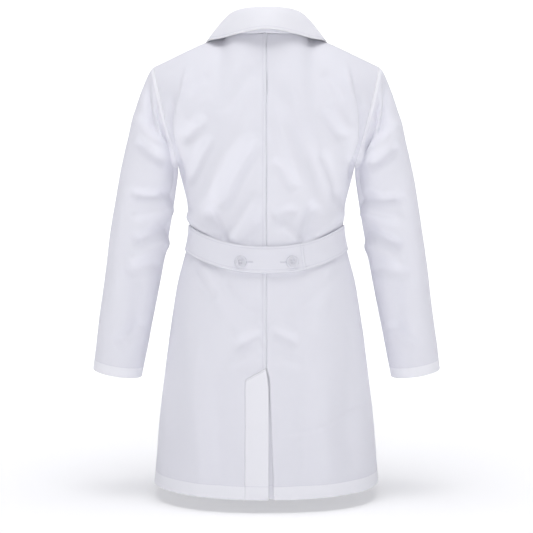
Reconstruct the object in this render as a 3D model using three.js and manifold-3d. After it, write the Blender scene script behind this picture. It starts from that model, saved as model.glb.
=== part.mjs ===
// Lab coat of a women's cut, stored open and hanging as it does when it is worn.
// Each cut piece of cloth is a thin closed solid, and so is each button and the loop it hangs by.
// Millimetres. +Z is up, the wearer's back faces -Y and the wearer's left is -X.
// The origin is the centre of the neck opening, level with the back neck seam.

import * as THREE from "three";
import { mergeVertices } from "three/addons/utils/BufferGeometryUtils.js";
import Module from "manifold-3d";

const wasm = await Module();
wasm.setup();

// ---------------------------------------------------------------- driving dimensions

// Lengths down the back, measured from the back neck seam.
const coatLength = 850;
const shoulderDrop = 50;
const armholeLength = 190;
const waistLevel = 357;
const hipLevel = 482;
const skirtLevel = 680;
const splitLevel = 406;

// Half widths of the body at those levels.
const shoulderHalf = 219;
const underarmHalf = 172;
const waistHalf = 149;
const hipHalf = 175;
const skirtHalf = 202;
const hemHalf = 217;

// How far the back stands behind the shoulder line, and the front before it.
const underarmBack = 132;
const waistBack = 118;
const hipBack = 146;
const skirtBack = 165;
const hemBack = 178;
const underarmFront = 125;
const waistFront = 110;
const hipFront = 138;
const skirtFront = 152;
const hemFront = 163;
const bodySquareness = 2.3;
const bladeFullness = 18;
const bustFullness = 10;

// Neck opening and armhole.
const neckHalf = 78;
const neckBack = 75;
const neckRise = 10;
const neckShare = 0.36;
const armholeBack = 55;
const armholeFront = 48;

// Sleeve.
const sleeveLength = 597;
const sleeveTilt = 11.4;
const cuffWidth = 95;
const cuffSlant = 9.7;
const cuffHalfDepth = 48;
const bicepHalfDepth = 62;
const sleeveOuterFullness = 23;
const sleeveInnerDip = 5;
const sleeveClearance = 3.4;

// Front edges, lapels and collar.
const frontEdgeHalf = 15;
const breakLevel = 290;
const lapelShare = 0.44;
const lapelTopLevel = 92;
const standHeight = 48;
const collarBackFall = 45;
const collarShoulderReach = 38;
const collarEndLevel = 82;

// Vent at the centre back.
const ventLevel = 620;
const ventOverlap = 4;
const ventFacingWidth = 38;
const ventSlant = 21;
const ventSpread = 8.4;

// Half belt.
const beltWidth = 48;
const beltLevel = 381;
const beltDroop = 46;
const overStrapEnd = 68;
const underStrapEnd = 72;
const beltButtonReach = 46;

// Buttons.
const buttonDiameter = 23.4;
const buttonThickness = 4;
const buttonRim = 2.4;
const buttonDish = 0.9;
// The chest is rounded, so a wider button stands further off it to clear its edge.
const buttonShank = 0.6 + (buttonDiameter / 2) ** 2 / 560;
const threadHole = 2.2;
const threadHoleSpacing = 5.2;
const frontButtonInset = 16;
const frontButtonLevels = [300, 390, 480, 570];

// Pockets.
const lowerPocket = { from: 48, to: 160, top: 462, bottom: 632, gape: 13 };
const chestPocket = { from: 0.36, to: 0.74, top: 140, bottom: 262, gape: 11 };

// Facings and loop.
const facingColumns = 4;
const neckFacingColumns = 4;
const neckFacingRows = 3;
const loopHalf = 32;
const loopDrop = 24;
const loopWidth = 6;

// Cloth, and the gaps between pieces.
const cloth = 2;
const lightCloth = 1.2;
const collarPly = 0.9;
const collarGap = 0.4;
const seamGap = 0.3;
const facingGap = 0.85;
const underlapGap = 1.2;
const layGap = 0.6;

// ---------------------------------------------------------------- small helpers

const lerp = THREE.MathUtils.lerp;
const clamp01 = (value) => Math.min(1, Math.max(0, value));
const smooth = (value) => clamp01(value) ** 2 * (3 - 2 * clamp01(value));
const radians = THREE.MathUtils.degToRad;
const point = (x, y, z) => new THREE.Vector3(x, y, z);
const mirrored = (p, side) => point(p.x * side, p.y, p.z);

// A smooth value against depth below the neck, through stations of [depth, value].
function profile(stations) {
  const slope = (i) => {
    const before = stations[Math.max(0, i - 1)];
    const after = stations[Math.min(stations.length - 1, i + 1)];
    return (after[1] - before[1]) / (after[0] - before[0]);
  };
  return (depth) => {
    let i = 0;
    while (i < stations.length - 2 && depth > stations[i + 1][0]) i += 1;
    const [d0, v0] = stations[i];
    const [d1, v1] = stations[i + 1];
    const span = d1 - d0;
    const t = clamp01((depth - d0) / span);
    const rise = slope(i) * span * (t - 2 * t ** 2 + t ** 3);
    const land = slope(i + 1) * span * (t ** 3 - t ** 2);
    return v0 + (v1 - v0) * (3 * t ** 2 - 2 * t ** 3) + rise + land;
  };
}

const underarmLevel = shoulderDrop + armholeLength;
const levels = [underarmLevel, waistLevel, hipLevel, skirtLevel, coatLength];
const stationsOf = (values) => levels.map((level, i) => [level, values[i]]);
const sideHalf = profile(stationsOf([underarmHalf, waistHalf, hipHalf, skirtHalf, hemHalf]));
const backDepth = profile(stationsOf([underarmBack, waistBack, hipBack, skirtBack, hemBack]));
const frontDepth = profile(
  stationsOf([underarmFront, waistFront, hipFront, skirtFront, hemFront]),
);

// ---------------------------------------------------------------- surfaces of the body

// A level slice of the body: share runs from 0 at the middle to 1 at the side.
const sliceDepth = (share) =>
  Math.max(0, 1 - Math.abs(share) ** bodySquareness) ** (1 / bodySquareness);
const shareOfTurn = (turn) => Math.sin((turn * Math.PI) / 2);
const turnOfShare = (share) => (Math.asin(share) * 2) / Math.PI;

// Armhole edge: turn 0 is under the arm, 1 is the shoulder tip, and reach is the bulge to back or front.
function armholePoint(turn, reach) {
  const rise = (1 - Math.cos(Math.PI * turn)) / 2;
  const x = lerp(underarmHalf, shoulderHalf, rise);
  const z = -underarmLevel + armholeLength * rise;
  return point(x, reach * Math.sin(Math.PI * turn), z);
}

// A surface between four edges, each a function of 0 to 1.
function fourEdged(bottom, top, left, right) {
  return (u, v) => {
    const p = bottom(u).multiplyScalar(1 - v);
    p.addScaledVector(top(u), v);
    p.addScaledVector(left(v), 1 - u);
    p.addScaledVector(right(v), u);
    p.addScaledVector(bottom(0), -(1 - u) * (1 - v));
    p.addScaledVector(bottom(1), -u * (1 - v));
    p.addScaledVector(top(0), -(1 - u) * v);
    return p.addScaledVector(top(1), -u * v);
  };
}

const neckPoint = () => point(neckHalf, 0, neckRise);
const shoulderTip = () => point(shoulderHalf, 0, -shoulderDrop);

function backNeckToTip(u) {
  if (u >= neckShare) return neckPoint().lerp(shoulderTip(), (u - neckShare) / (1 - neckShare));
  const turn = ((u / neckShare) * Math.PI) / 2;
  return point(neckHalf * Math.sin(turn), -neckBack * Math.cos(turn), neckRise * Math.sin(turn) ** 2);
}

const backYoke = fourEdged(
  (u) => point(underarmHalf * shareOfTurn(u), -underarmBack * sliceDepth(shareOfTurn(u)), -underarmLevel),
  backNeckToTip,
  (v) => point(0, -lerp(underarmBack, neckBack, v ** 2.2), -underarmLevel * (1 - v)),
  (v) => armholePoint(v, -armholeBack),
);

// The back at turn u (0 centre, 1 side, negative on the wearer's left) and depth below the neck.
function backSurface(u, depth) {
  if (depth >= underarmLevel) {
    const share = shareOfTurn(u);
    return point(sideHalf(depth) * share, -backDepth(depth) * sliceDepth(share), -depth);
  }
  const v = 1 - depth / underarmLevel;
  const p = backYoke(Math.abs(u), v);
  p.y -= bladeFullness * Math.sin(Math.PI * Math.abs(u)) * Math.sin(Math.PI * v);
  return mirrored(p, u < 0 ? -1 : 1);
}

const backTurn = (x, depth) => turnOfShare(x / sideHalf(depth));

// The front edge runs straight up to the break of the lapel, then along the roll line to the neck.
function frontEdge(depth) {
  const rolled = clamp01((breakLevel - depth) / (breakLevel + neckRise));
  return lerp(frontEdgeHalf, neckHalf, rolled);
}

function frontSlice(u, depth) {
  const width = sideHalf(depth);
  const first = turnOfShare(frontEdge(depth) / width);
  const share = shareOfTurn(lerp(first, 1, u));
  return point(width * share, frontDepth(depth) * sliceDepth(share), -depth);
}

const frontTurn = (x, depth) => {
  const first = turnOfShare(frontEdge(depth) / sideHalf(depth));
  return (turnOfShare(x / sideHalf(depth)) - first) / (1 - first);
};

function rollLine(v) {
  const start = frontSlice(0, underarmLevel);
  const x = lerp(start.x, neckHalf, v);
  const y = start.y * (1 - v ** 2.8);
  return point(x, y, lerp(start.z, neckRise, v));
}

const frontYoke = fourEdged(
  (u) => frontSlice(u, underarmLevel),
  (u) => neckPoint().lerp(shoulderTip(), u),
  rollLine,
  (v) => armholePoint(v, armholeFront),
);

// The front at turn u (0 front edge, 1 side) and depth below the neck, on the wearer's right.
function frontSurface(u, depth) {
  if (depth >= underarmLevel) return frontSlice(u, depth);
  const v = 1 - depth / underarmLevel;
  const p = frontYoke(u, v);
  p.y += bustFullness * Math.sin(Math.PI * u) * Math.sin(Math.PI * v);
  return p;
}

// The skirt of each front swings on a line just outside the side seam.
// The cut above it is square to that line.
const skirtLean = (hemHalf - hipHalf) / (coatLength - hipLevel);
const swingAxis = point(skirtLean, 0, -1).normalize();
const splitDepth = (x) => splitLevel + skirtLean * (sideHalf(splitLevel) - x);

function splitAt(u, lower) {
  const x = frontSlice(u, splitLevel).x;
  return splitDepth(x) + (lower ? seamGap / 2 : -seamGap / 2);
}

// ---------------------------------------------------------------- cloth solids

// The outward direction of a surface at (s, t), with the parts across any rim plane taken out.
function outwardAt(piece, s, t) {
  const step = 1e-3;
  const s0 = piece.closed ? s - step : Math.max(0, s - step);
  const s1 = piece.closed ? s + step : Math.min(1, s + step);
  const alongS = piece.at(s1, t).sub(piece.at(s0, t));
  const alongT = piece.at(s, Math.min(1, t + step)).sub(piece.at(s, Math.max(0, t - step)));
  const normal = alongS.cross(alongT).normalize();
  const away = piece.at(s, t).sub(piece.inside ?? point(0, 0, -waistLevel));
  if (piece.facing ? piece.facing < 0 : normal.dot(away) < 0) normal.negate();
  const rims = piece.rims ?? {};
  const cuts = [s === 0 && rims.s0, s === 1 && rims.s1, t === 0 && rims.t0, t === 1 && rims.t1];
  for (const cut of cuts) {
    const plane = typeof cut === "function" ? cut(s, t) : cut;
    if (plane) normal.addScaledVector(plane, -normal.dot(plane)).normalize();
  }
  return normal;
}

// A thin closed solid that follows piece.at(s, t) at an offset, with walls round its edges.
function clothGeometry(piece) {
  const { at, across, along, closed = false, offset = 0, thickness = cloth } = piece;
  const columns = closed ? across : across + 1;
  const shift = typeof offset === "function" ? offset : () => offset;
  const positions = [];
  for (const half of [thickness / 2, -thickness / 2]) {
    for (let j = 0; j <= along; j += 1) {
      for (let i = 0; i < columns; i += 1) {
        const s = i / across;
        const t = j / along;
        const normal = outwardAt(piece, s, t);
        const p = at(s, t).addScaledVector(normal, shift(s, t) + half);
        positions.push(p.x, p.y, p.z);
      }
    }
  }
  const layer = columns * (along + 1);
  const index = [];
  const quad = (a, b, c, d) => index.push(a, b, c, a, c, d);
  const vertex = (i, j, inner) => inner * layer + j * columns + (i % columns);
  for (let j = 0; j < along; j += 1) {
    for (let i = 0; i < across; i += 1) {
      quad(vertex(i, j, 0), vertex(i + 1, j, 0), vertex(i + 1, j + 1, 0), vertex(i, j + 1, 0));
      quad(vertex(i, j, 1), vertex(i, j + 1, 1), vertex(i + 1, j + 1, 1), vertex(i + 1, j, 1));
    }
  }
  for (let i = 0; i < across; i += 1) {
    quad(vertex(i, 0, 1), vertex(i + 1, 0, 1), vertex(i + 1, 0, 0), vertex(i, 0, 0));
    quad(vertex(i, along, 0), vertex(i + 1, along, 0), vertex(i + 1, along, 1), vertex(i, along, 1));
  }
  for (let j = 0; j < along && !closed; j += 1) {
    quad(vertex(0, j, 0), vertex(0, j + 1, 0), vertex(0, j + 1, 1), vertex(0, j, 1));
    quad(vertex(across, j, 1), vertex(across, j + 1, 1), vertex(across, j + 1, 0), vertex(across, j, 0));
  }
  return closedGeometry(positions, index);
}

function signedVolume(positions, index) {
  let volume = 0;
  const corner = (i) => point(...positions.slice(index[i] * 3, index[i] * 3 + 3));
  for (let i = 0; i < index.length; i += 3) {
    volume += corner(i).dot(corner(i + 1).cross(corner(i + 2))) / 6;
  }
  return volume;
}

function closedGeometry(positions, index) {
  const outwards = signedVolume(positions, index) > 0;
  const turned = outwards ? index : index.toReversed();
  const geometry = new THREE.BufferGeometry();
  geometry.setAttribute("position", new THREE.Float32BufferAttribute(positions, 3));
  geometry.setIndex(turned);
  geometry.computeVertexNormals();
  return geometry;
}

// ---------------------------------------------------------------- materials

function matte(name, color, roughness) {
  return new THREE.MeshStandardMaterial({ name, color, roughness, metalness: 0 });
}

const materials = {
  twill: matte("white_twill", 0xf2f2f5, 0.85),
  interlining: matte("interlining", 0xe6e6e2, 0.95),
  button: matte("white_button", 0xf4f4f2, 0.45),
};

const coat = new THREE.Group();
coat.name = "lab_coat";

function addPiece(name, geometry, material = materials.twill) {
  const mesh = new THREE.Mesh(geometry, material);
  mesh.name = name;
  coat.add(mesh);
  return mesh;
}

const sides = [
  { word: "left", sign: -1 },
  { word: "right", sign: 1 },
];

// ---------------------------------------------------------------- back panels and vent

const seamX = point(1, 0, 0);
const seamY = point(0, 1, 0);
const seamZ = point(0, 0, 1);
const armholeSlope = point(shoulderHalf - underarmHalf, 0, armholeLength).normalize();
const armholeNormal = point(armholeSlope.z, 0, -armholeSlope.x);

// The plane that a panel's side edge keeps to: the side seam, or the armhole above it.
const sideRim = (depth, sign) => (depth > underarmLevel ? seamY : mirrored(armholeNormal, sign));

const backColumns = 12;
const yokeRows = 10;
const shoulderRim = (s) => (s < neckShare ? seamZ : seamY);

// How far from the centre back a panel's inner edge lies at this depth.
function backInnerEdge(depth, sign) {
  const below = depth - ventLevel;
  if (below <= 0) return seamGap / 2;
  if (sign < 0) return lerp(seamGap / 2, ventFacingWidth, clamp01(below / ventSlant));
  const opening = ventOverlap + layGap;
  const spread = (ventSpread * below) / (coatLength - ventLevel);
  return lerp(seamGap / 2, opening, clamp01(below / ventSlant)) + spread;
}

// Rows meet the sleeve's own points round the armhole, and both ends of the vent's slanted edge.
function backRowDepths() {
  const middle = 10;
  const below = 5;
  const rows = [];
  for (let j = 0; j < yokeRows; j += 1) rows.push((underarmLevel * j) / yokeRows);
  for (let j = 0; j <= middle; j += 1) rows.push(lerp(underarmLevel, ventLevel, j / middle));
  for (let j = 0; j <= below; j += 1) {
    rows.push(lerp(ventLevel + ventSlant, coatLength, j / below));
  }
  return rows;
}

function backPanel(sign) {
  const rows = backRowDepths();
  const last = rows.length - 1;
  const depthAt = (t) => {
    const row = Math.min(last - 1, Math.floor(t * last));
    return lerp(rows[row], rows[row + 1], t * last - row);
  };
  const at = (s, t) => {
    const depth = depthAt(t);
    const start = depth > underarmLevel ? backTurn(backInnerEdge(depth, sign), depth) : 0;
    const p = backSurface(lerp(start, 1, s), depth);
    p.x = Math.max(p.x, seamGap / 2);
    p.y -= seamGap / 2;
    return mirrored(p, sign);
  };
  const rims = { s0: seamX, s1: (s, t) => sideRim(depthAt(t), sign), t0: shoulderRim, t1: seamZ };
  return clothGeometry({ at, across: backColumns, along: last, rims });
}

// The wearer's left laps over: its facing is folded back along a line, and the flap hangs free below it.
function ventFlap() {
  const at = (s, t) => {
    const freeEdge = lerp(-layGap, ventOverlap, clamp01(t * 6));
    const x = lerp(-ventFacingWidth + seamGap, freeEdge, s);
    const top = ventLevel + layGap + ventSlant * clamp01(-x / ventFacingWidth);
    const depth = lerp(top, coatLength, t);
    return backSurface(backTurn(x, depth), depth);
  };
  return clothGeometry({ at, across: 5, along: 6, rims: { s0: seamX, t1: seamZ } });
}

function ventUnderlap() {
  const at = (s, t) => {
    const x = lerp(-ventFacingWidth + 2, ventOverlap + ventSpread + 6, s);
    const depth = lerp(ventLevel - 8, coatLength - 2, t);
    return backSurface(backTurn(x, depth), depth);
  };
  const offset = -(cloth / 2 + underlapGap + lightCloth / 2);
  return clothGeometry({ at, across: 8, along: 10, offset, thickness: lightCloth });
}

// ---------------------------------------------------------------- fronts

function onFront(sign, at, piece) {
  const place = (s, t) => {
    const p = at(s, t);
    p.y += seamGap / 2;
    return mirrored(p, sign);
  };
  return clothGeometry({ at: place, ...piece });
}

const frontColumns = 12;
const bodiceRows = 16;
const skirtRows = 12;

function bodiceDepth(u, t) {
  const share = yokeRows / bodiceRows;
  if (t <= share) return (underarmLevel * t) / share;
  return lerp(underarmLevel, splitAt(u, false), (t - share) / (1 - share));
}

function frontBodice(sign) {
  const at = (u, t) => frontSurface(u, bodiceDepth(u, t));
  const rims = {
    s1: (s, t) => sideRim(bodiceDepth(1, t), sign),
    t0: seamY,
    t1: mirrored(swingAxis, sign),
  };
  return onFront(sign, at, { across: frontColumns, along: bodiceRows, rims });
}

function frontSkirt(sign) {
  const at = (u, t) => frontSurface(u, lerp(splitAt(u, true), coatLength, t));
  const rims = { s1: seamY, t0: mirrored(swingAxis, sign), t1: seamZ };
  return onFront(sign, at, { across: frontColumns, along: skirtRows, rims });
}

// Facings lie inside the fronts, column on column and row on row.
const facingOffset = -(cloth / 2 + facingGap + lightCloth / 2);
const facingShare = facingColumns / frontColumns;

function skirtFacing(sign) {
  const at = (s, t) => {
    const u = s * facingShare;
    return frontSurface(u, lerp(splitAt(u, true), coatLength, t));
  };
  const rims = { t0: mirrored(swingAxis, sign), t1: seamZ };
  return onFront(sign, at, {
    across: facingColumns,
    along: skirtRows,
    rims,
    offset: facingOffset,
    thickness: lightCloth,
  });
}

function bodiceFacing(sign) {
  const at = (s, t) => {
    const u = s * facingShare;
    return frontSurface(u, bodiceDepth(u, lerp(1 / bodiceRows, 1, t)));
  };
  return onFront(sign, at, {
    across: facingColumns,
    along: bodiceRows - 1,
    rims: { t1: mirrored(swingAxis, sign) },
    offset: facingOffset,
    thickness: lightCloth,
  });
}

// The lapel is the front's own top corner turned back over the chest, so it follows the chest.
function lapel(sign) {
  const at = (s, t) => {
    const depth = lerp(lapelTopLevel + 8 * s, breakLevel - 12, t);
    const wide = lapelShare * Math.sqrt(1 - t * 0.97) * (1 - 0.12 * (1 - t));
    return frontSurface(0.01 + s * wide, depth);
  };
  const lift = cloth / 2 + layGap + cloth / 2;
  const offset = (s) => lift + 5 * Math.sin(Math.PI * s * 0.85);
  return onFront(sign, at, { across: 6, along: 10, offset });
}

// ---------------------------------------------------------------- sleeves

const tilt = radians(sleeveTilt);
const slant = radians(cuffSlant);
const outerCuff = point(
  shoulderHalf + sleeveLength * Math.sin(tilt),
  0,
  -shoulderDrop - sleeveLength * Math.cos(tilt),
);
const innerCuff = outerCuff
  .clone()
  .add(point(-cuffWidth * Math.cos(slant), 0, -cuffWidth * Math.sin(slant)));

function sleeveOuterEdge(t) {
  const p = shoulderTip().lerp(outerCuff, t);
  p.x += sleeveOuterFullness * Math.sin(Math.PI * t ** 0.6);
  return p;
}

// The inner edge hangs close to the body and never through it.
function sleeveInnerEdge(t) {
  const share = t ** 1.6;
  const p = point(underarmHalf, 0, -underarmLevel).lerp(innerCuff, share);
  p.x -= sleeveInnerDip * Math.sin(Math.PI * share ** 0.6);
  const clear = sideHalf(-p.z) + sleeveClearance * smooth(t * 8);
  p.x = Math.max(p.x, clear);
  return p;
}

function sleeve(sign) {
  const seat = armholeNormal.clone().multiplyScalar(seamGap);
  const at = (s, t) => {
    const turn = s * Math.PI * 2;
    const outer = sleeveOuterEdge(t);
    const inner = sleeveInnerEdge(t);
    const middle = outer.clone().add(inner).multiplyScalar(0.5);
    const reach = Math.sin(turn) < 0 ? armholeBack : armholeFront;
    const lower = lerp(bicepHalfDepth, cuffHalfDepth, t);
    const depth = lerp(reach, lower, smooth(t * 4));
    const p = middle.addScaledVector(outer.sub(inner), Math.cos(turn) / 2);
    p.y += depth * Math.sin(turn);
    return mirrored(p.add(seat), sign);
  };
  const centre = point(sign * (shoulderHalf + 30), 0, -shoulderDrop - sleeveLength / 2);
  const rims = { t0: mirrored(armholeNormal, sign) };
  return clothGeometry({ at, across: 20, along: 14, closed: true, rims, inside: centre });
}

// ---------------------------------------------------------------- collar

// Three lines from the centre back to the collar's front end: the neck seam, the fold and the free edge.
function collarLine(points) {
  const right = points.map((p) => point(...p));
  const left = right.slice(1).reverse().map((p) => mirrored(p, -1));
  const curve = new THREE.CatmullRomCurve3([...left, ...right], false, "centripetal");
  return (s) => curve.getPoint((1 + s) / 2);
}

// Past the shoulder the collar is sewn along the roll line, and rests on the outside of the front.
function onRollLine(depth) {
  const p = rollLine((underarmLevel - depth) / (underarmLevel + neckRise));
  return [p.x, p.y + collarRest, p.z + collarRest / 2];
}

const collarRest = cloth / 2 + collarPly * 1.5 + seamGap * 2 + layGap;
const seamLine = collarLine([
  [0, -neckBack, seamGap],
  [neckHalf * 0.7, -neckBack * 0.71, neckRise / 2 + seamGap],
  [neckHalf - 1.5, seamGap, neckRise + collarPly * 2 + seamGap],
  onRollLine(36),
  onRollLine(collarEndLevel),
]);
const foldLine = collarLine([
  [0, -neckBack - 7, standHeight],
  [neckHalf * 0.68, -neckBack * 0.78, standHeight],
  [neckHalf - 3, 0, standHeight - 5],
  [neckHalf + 10, 50, 2],
  [neckHalf + 14, 98, -68],
]);
const freeLine = collarLine([
  [0, -neckBack - 25, standHeight - collarBackFall],
  [neckHalf + 9, -neckBack + 26, standHeight - collarBackFall - 5],
  [neckHalf + collarShoulderReach, -6, -1.5],
  [neckHalf + collarShoulderReach + 2, 58, -30],
  [neckHalf + collarShoulderReach - 4, 96, -76],
]);

function collarPoint(turn, t) {
  const share = Math.abs(turn);
  const seam = seamLine(share);
  const free = freeLine(share);
  const middle = seam.clone().add(free).multiplyScalar(0.5);
  const fold = foldLine(share);
  const crown = fold.clone().add(fold.clone().sub(middle).divideScalar(3));
  const width = seam.clone().sub(free).multiplyScalar(0.3);
  const curve = new THREE.CubicBezierCurve3(
    seam,
    crown.clone().add(width),
    crown.clone().sub(width),
    free,
  );
  return mirrored(curve.getPoint(t), Math.sign(turn) || 1);
}

function collarLayer(offset) {
  const at = (s, t) => collarPoint(s * 2 - 1, t);
  const rims = { t0: seamZ };
  return clothGeometry({ at, across: 22, along: 7, offset, thickness: collarPly, facing: 1, rims });
}

// ---------------------------------------------------------------- half belt

const strapHang = cloth / 2 + 1.6;
const underStrapOffset = strapHang + cloth / 2;
const overStrapOffset = underStrapOffset + cloth + layGap;

// Middle of the belt against the share of the back's half width.
const beltMiddle = (share) => beltLevel + beltDroop * (1 - Math.abs(share) ** 2.2);

function beltPoint(u, across) {
  const share = shareOfTurn(u);
  return backSurface(u, beltMiddle(share) + beltWidth * (across - 0.5));
}

function beltStrap(sign, endReach, offset) {
  const end = -backTurn(endReach, beltLevel + beltDroop);
  const at = (s, t) => mirrored(beltPoint(lerp(0.985, end, s), t), sign);
  const hang = (s) => lerp(underStrapOffset, offset, smooth(s * 2.5));
  return clothGeometry({ at, across: 26, along: 3, offset: hang, rims: { s0: seamY } });
}

// ---------------------------------------------------------------- buttons

function toManifold(geometry) {
  geometry.deleteAttribute("normal");
  geometry.deleteAttribute("uv");
  const merged = mergeVertices(geometry, 1e-4);
  const mesh = new wasm.Mesh({
    numProp: 3,
    vertProperties: merged.attributes.position.array,
    triVerts: new Uint32Array(merged.index.array),
  });
  return new wasm.Manifold(mesh);
}

function fromManifold(solid) {
  const mesh = solid.getMesh();
  const geometry = new THREE.BufferGeometry();
  geometry.setAttribute("position", new THREE.Float32BufferAttribute(mesh.vertProperties, 3));
  geometry.setIndex(new THREE.BufferAttribute(mesh.triVerts, 1));
  geometry.computeVertexNormals();
  return geometry;
}

// A rimmed disc with four holes for the thread, its back at z = 0.
function buttonGeometry() {
  const radius = buttonDiameter / 2;
  const outline = [
    [0, 0],
    [radius - 1.4, 0],
    [radius, 1.2],
    [radius - 0.5, buttonThickness],
    [radius - buttonRim, buttonThickness],
    [radius - buttonRim - 1, buttonThickness - buttonDish],
    [0, buttonThickness - buttonDish],
  ];
  const profilePoints = outline.map(([r, z]) => new THREE.Vector2(r, z));
  const disc = new THREE.LatheGeometry(profilePoints, 20).rotateX(Math.PI / 2);
  let solid = toManifold(disc);
  const half = threadHoleSpacing / 2;
  for (const [x, y] of [[half, half], [-half, half], [-half, -half], [half, -half]]) {
    const drill = new THREE.CylinderGeometry(threadHole / 2, threadHole / 2, buttonThickness * 4, 6);
    drill.rotateX(Math.PI / 2).translate(x, y, 0);
    solid = solid.subtract(toManifold(drill));
  }
  return fromManifold(solid);
}

const buttonShape = buttonGeometry();

function addButton(name, surface, lift) {
  const normal = outwardAt({ at: surface }, 0.5, 0.5);
  const mesh = addPiece(name, buttonShape.clone(), materials.button);
  mesh.position.copy(surface(0.5, 0.5)).addScaledVector(normal, lift);
  mesh.quaternion.setFromUnitVectors(point(0, 0, 1), normal);
}

// A small stretch of the back or front round one place, for finding which way it faces.
const backPlace = (x, depth) => (s, t) =>
  backSurface(backTurn(x + s - 0.5, depth), depth + t - 0.5);
const frontPlace = (x, depth, sign) => (s, t) =>
  mirrored(frontSurface(frontTurn(x + s - 0.5, depth), depth + t - 0.5), sign);

// ---------------------------------------------------------------- pockets

// A patch sewn down at its sides and foot, standing away from the front at its mouth.
function pocketGape(gape) {
  const seat = cloth / 2 + seamGap + lightCloth / 2 + 0.3;
  return (s, t) => {
    const sideways = Math.sin(Math.PI * s) ** 0.6;
    const upward = smooth(1 - t) ** 0.7;
    return seat + gape * sideways * upward;
  };
}

function lowerPocketPiece(sign) {
  const at = (s, t) => {
    const depth = lerp(lowerPocket.top, lowerPocket.bottom, t);
    const x = lerp(lowerPocket.from, lowerPocket.to, s);
    return frontSurface(frontTurn(x, depth), depth);
  };
  const offset = pocketGape(lowerPocket.gape);
  return onFront(sign, at, { across: 12, along: 8, offset, thickness: lightCloth });
}

function chestPocketPiece(sign) {
  const at = (s, t) => {
    const depth = lerp(chestPocket.top, chestPocket.bottom, t);
    return frontSurface(lerp(chestPocket.from, chestPocket.to, s), depth);
  };
  const offset = pocketGape(chestPocket.gape);
  return onFront(sign, at, { across: 10, along: 8, offset, thickness: lightCloth });
}

// ---------------------------------------------------------------- neck facing and loop

function neckFacing() {
  const reach = neckFacingColumns / backColumns;
  const bottom = (underarmLevel * neckFacingRows) / yokeRows;
  return clothGeometry({
    at: (s, t) => backSurface((s * 2 - 1) * reach, bottom * t),
    across: neckFacingColumns * 2,
    along: neckFacingRows,
    rims: { t0: seamZ },
    offset: facingOffset,
    thickness: lightCloth,
  });
}

// The loop hangs in a flat bow from both its ends at the neck seam.
function hangerLoop() {
  const end = neckBack * Math.sqrt(1 - (loopHalf / neckHalf) ** 2);
  const y = -end - facingOffset;
  const at = (s, t) => {
    const x = loopHalf * (s * 2 - 1);
    const bow = loopDrop * (1 - (s * 2 - 1) ** 2);
    return point(x, y, -5 - bow - loopWidth * t);
  };
  return clothGeometry({ at, across: 16, along: 1, thickness: lightCloth });
}

// ---------------------------------------------------------------- the coat

for (const { word, sign } of sides) {
  addPiece(`back_panel_${word}`, backPanel(sign));
  addPiece(`front_bodice_${word}`, frontBodice(sign));
  addPiece(`front_skirt_${word}`, frontSkirt(sign));
  addPiece(`skirt_facing_${word}`, skirtFacing(sign));
  addPiece(`bodice_facing_${word}`, bodiceFacing(sign));
  addPiece(`lapel_${word}`, lapel(sign));
  addPiece(`sleeve_${word}`, sleeve(sign));
  addPiece(`lower_pocket_${word}`, lowerPocketPiece(sign));
}
addPiece("vent_flap", ventFlap());
addPiece("vent_underlap", ventUnderlap());
addPiece("chest_pocket", chestPocketPiece(-1));
addPiece("upper_collar", collarLayer(collarPly + collarGap));
addPiece("collar_interlining", collarLayer(0), materials.interlining);
addPiece("under_collar", collarLayer(-collarPly - collarGap));
addPiece("back_neck_facing", neckFacing());
addPiece("hanger_loop", hangerLoop());
addPiece("belt_strap_left", beltStrap(-1, overStrapEnd, overStrapOffset));
addPiece("belt_strap_right", beltStrap(1, underStrapEnd, underStrapOffset));

const beltButtonLift = overStrapOffset + cloth / 2 + buttonShank / 2;
for (const { word, sign } of sides) {
  const place = backPlace(sign * beltButtonReach, beltLevel + beltDroop + 5);
  addButton(`belt_button_${word}`, place, beltButtonLift);
}
frontButtonLevels.forEach((depth, i) => {
  const place = frontPlace(frontEdgeHalf + frontButtonInset, depth, -1);
  addButton(`front_button_${i + 1}`, place, cloth / 2 + buttonShank);
});

export default coat;
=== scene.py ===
"""Lab coat of a women's cut, in white poly-cotton twill, hanging open as it does when it is worn.

Every cloth piece is a surface worked out on a grid, in millimetres, and made a thin closed sheet in metres.
"""

import math

import bpy
import numpy as np
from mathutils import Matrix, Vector


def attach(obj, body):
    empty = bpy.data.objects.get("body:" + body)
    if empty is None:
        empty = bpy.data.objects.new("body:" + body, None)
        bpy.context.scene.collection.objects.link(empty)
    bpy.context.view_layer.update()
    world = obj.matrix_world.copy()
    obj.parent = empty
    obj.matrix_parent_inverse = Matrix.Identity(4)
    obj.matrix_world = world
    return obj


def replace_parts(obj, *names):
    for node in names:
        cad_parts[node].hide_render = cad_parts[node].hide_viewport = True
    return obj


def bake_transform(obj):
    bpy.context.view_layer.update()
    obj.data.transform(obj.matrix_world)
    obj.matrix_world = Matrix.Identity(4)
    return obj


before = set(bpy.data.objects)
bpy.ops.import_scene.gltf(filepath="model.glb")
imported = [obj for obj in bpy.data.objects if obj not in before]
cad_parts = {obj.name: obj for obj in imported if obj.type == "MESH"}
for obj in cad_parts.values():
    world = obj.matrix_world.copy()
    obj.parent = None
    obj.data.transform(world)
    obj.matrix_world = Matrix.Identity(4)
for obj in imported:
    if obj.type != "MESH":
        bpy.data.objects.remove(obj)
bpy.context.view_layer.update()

MM = 0.001

# ---------------------------------------------------------------- sizes, in millimetres

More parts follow.
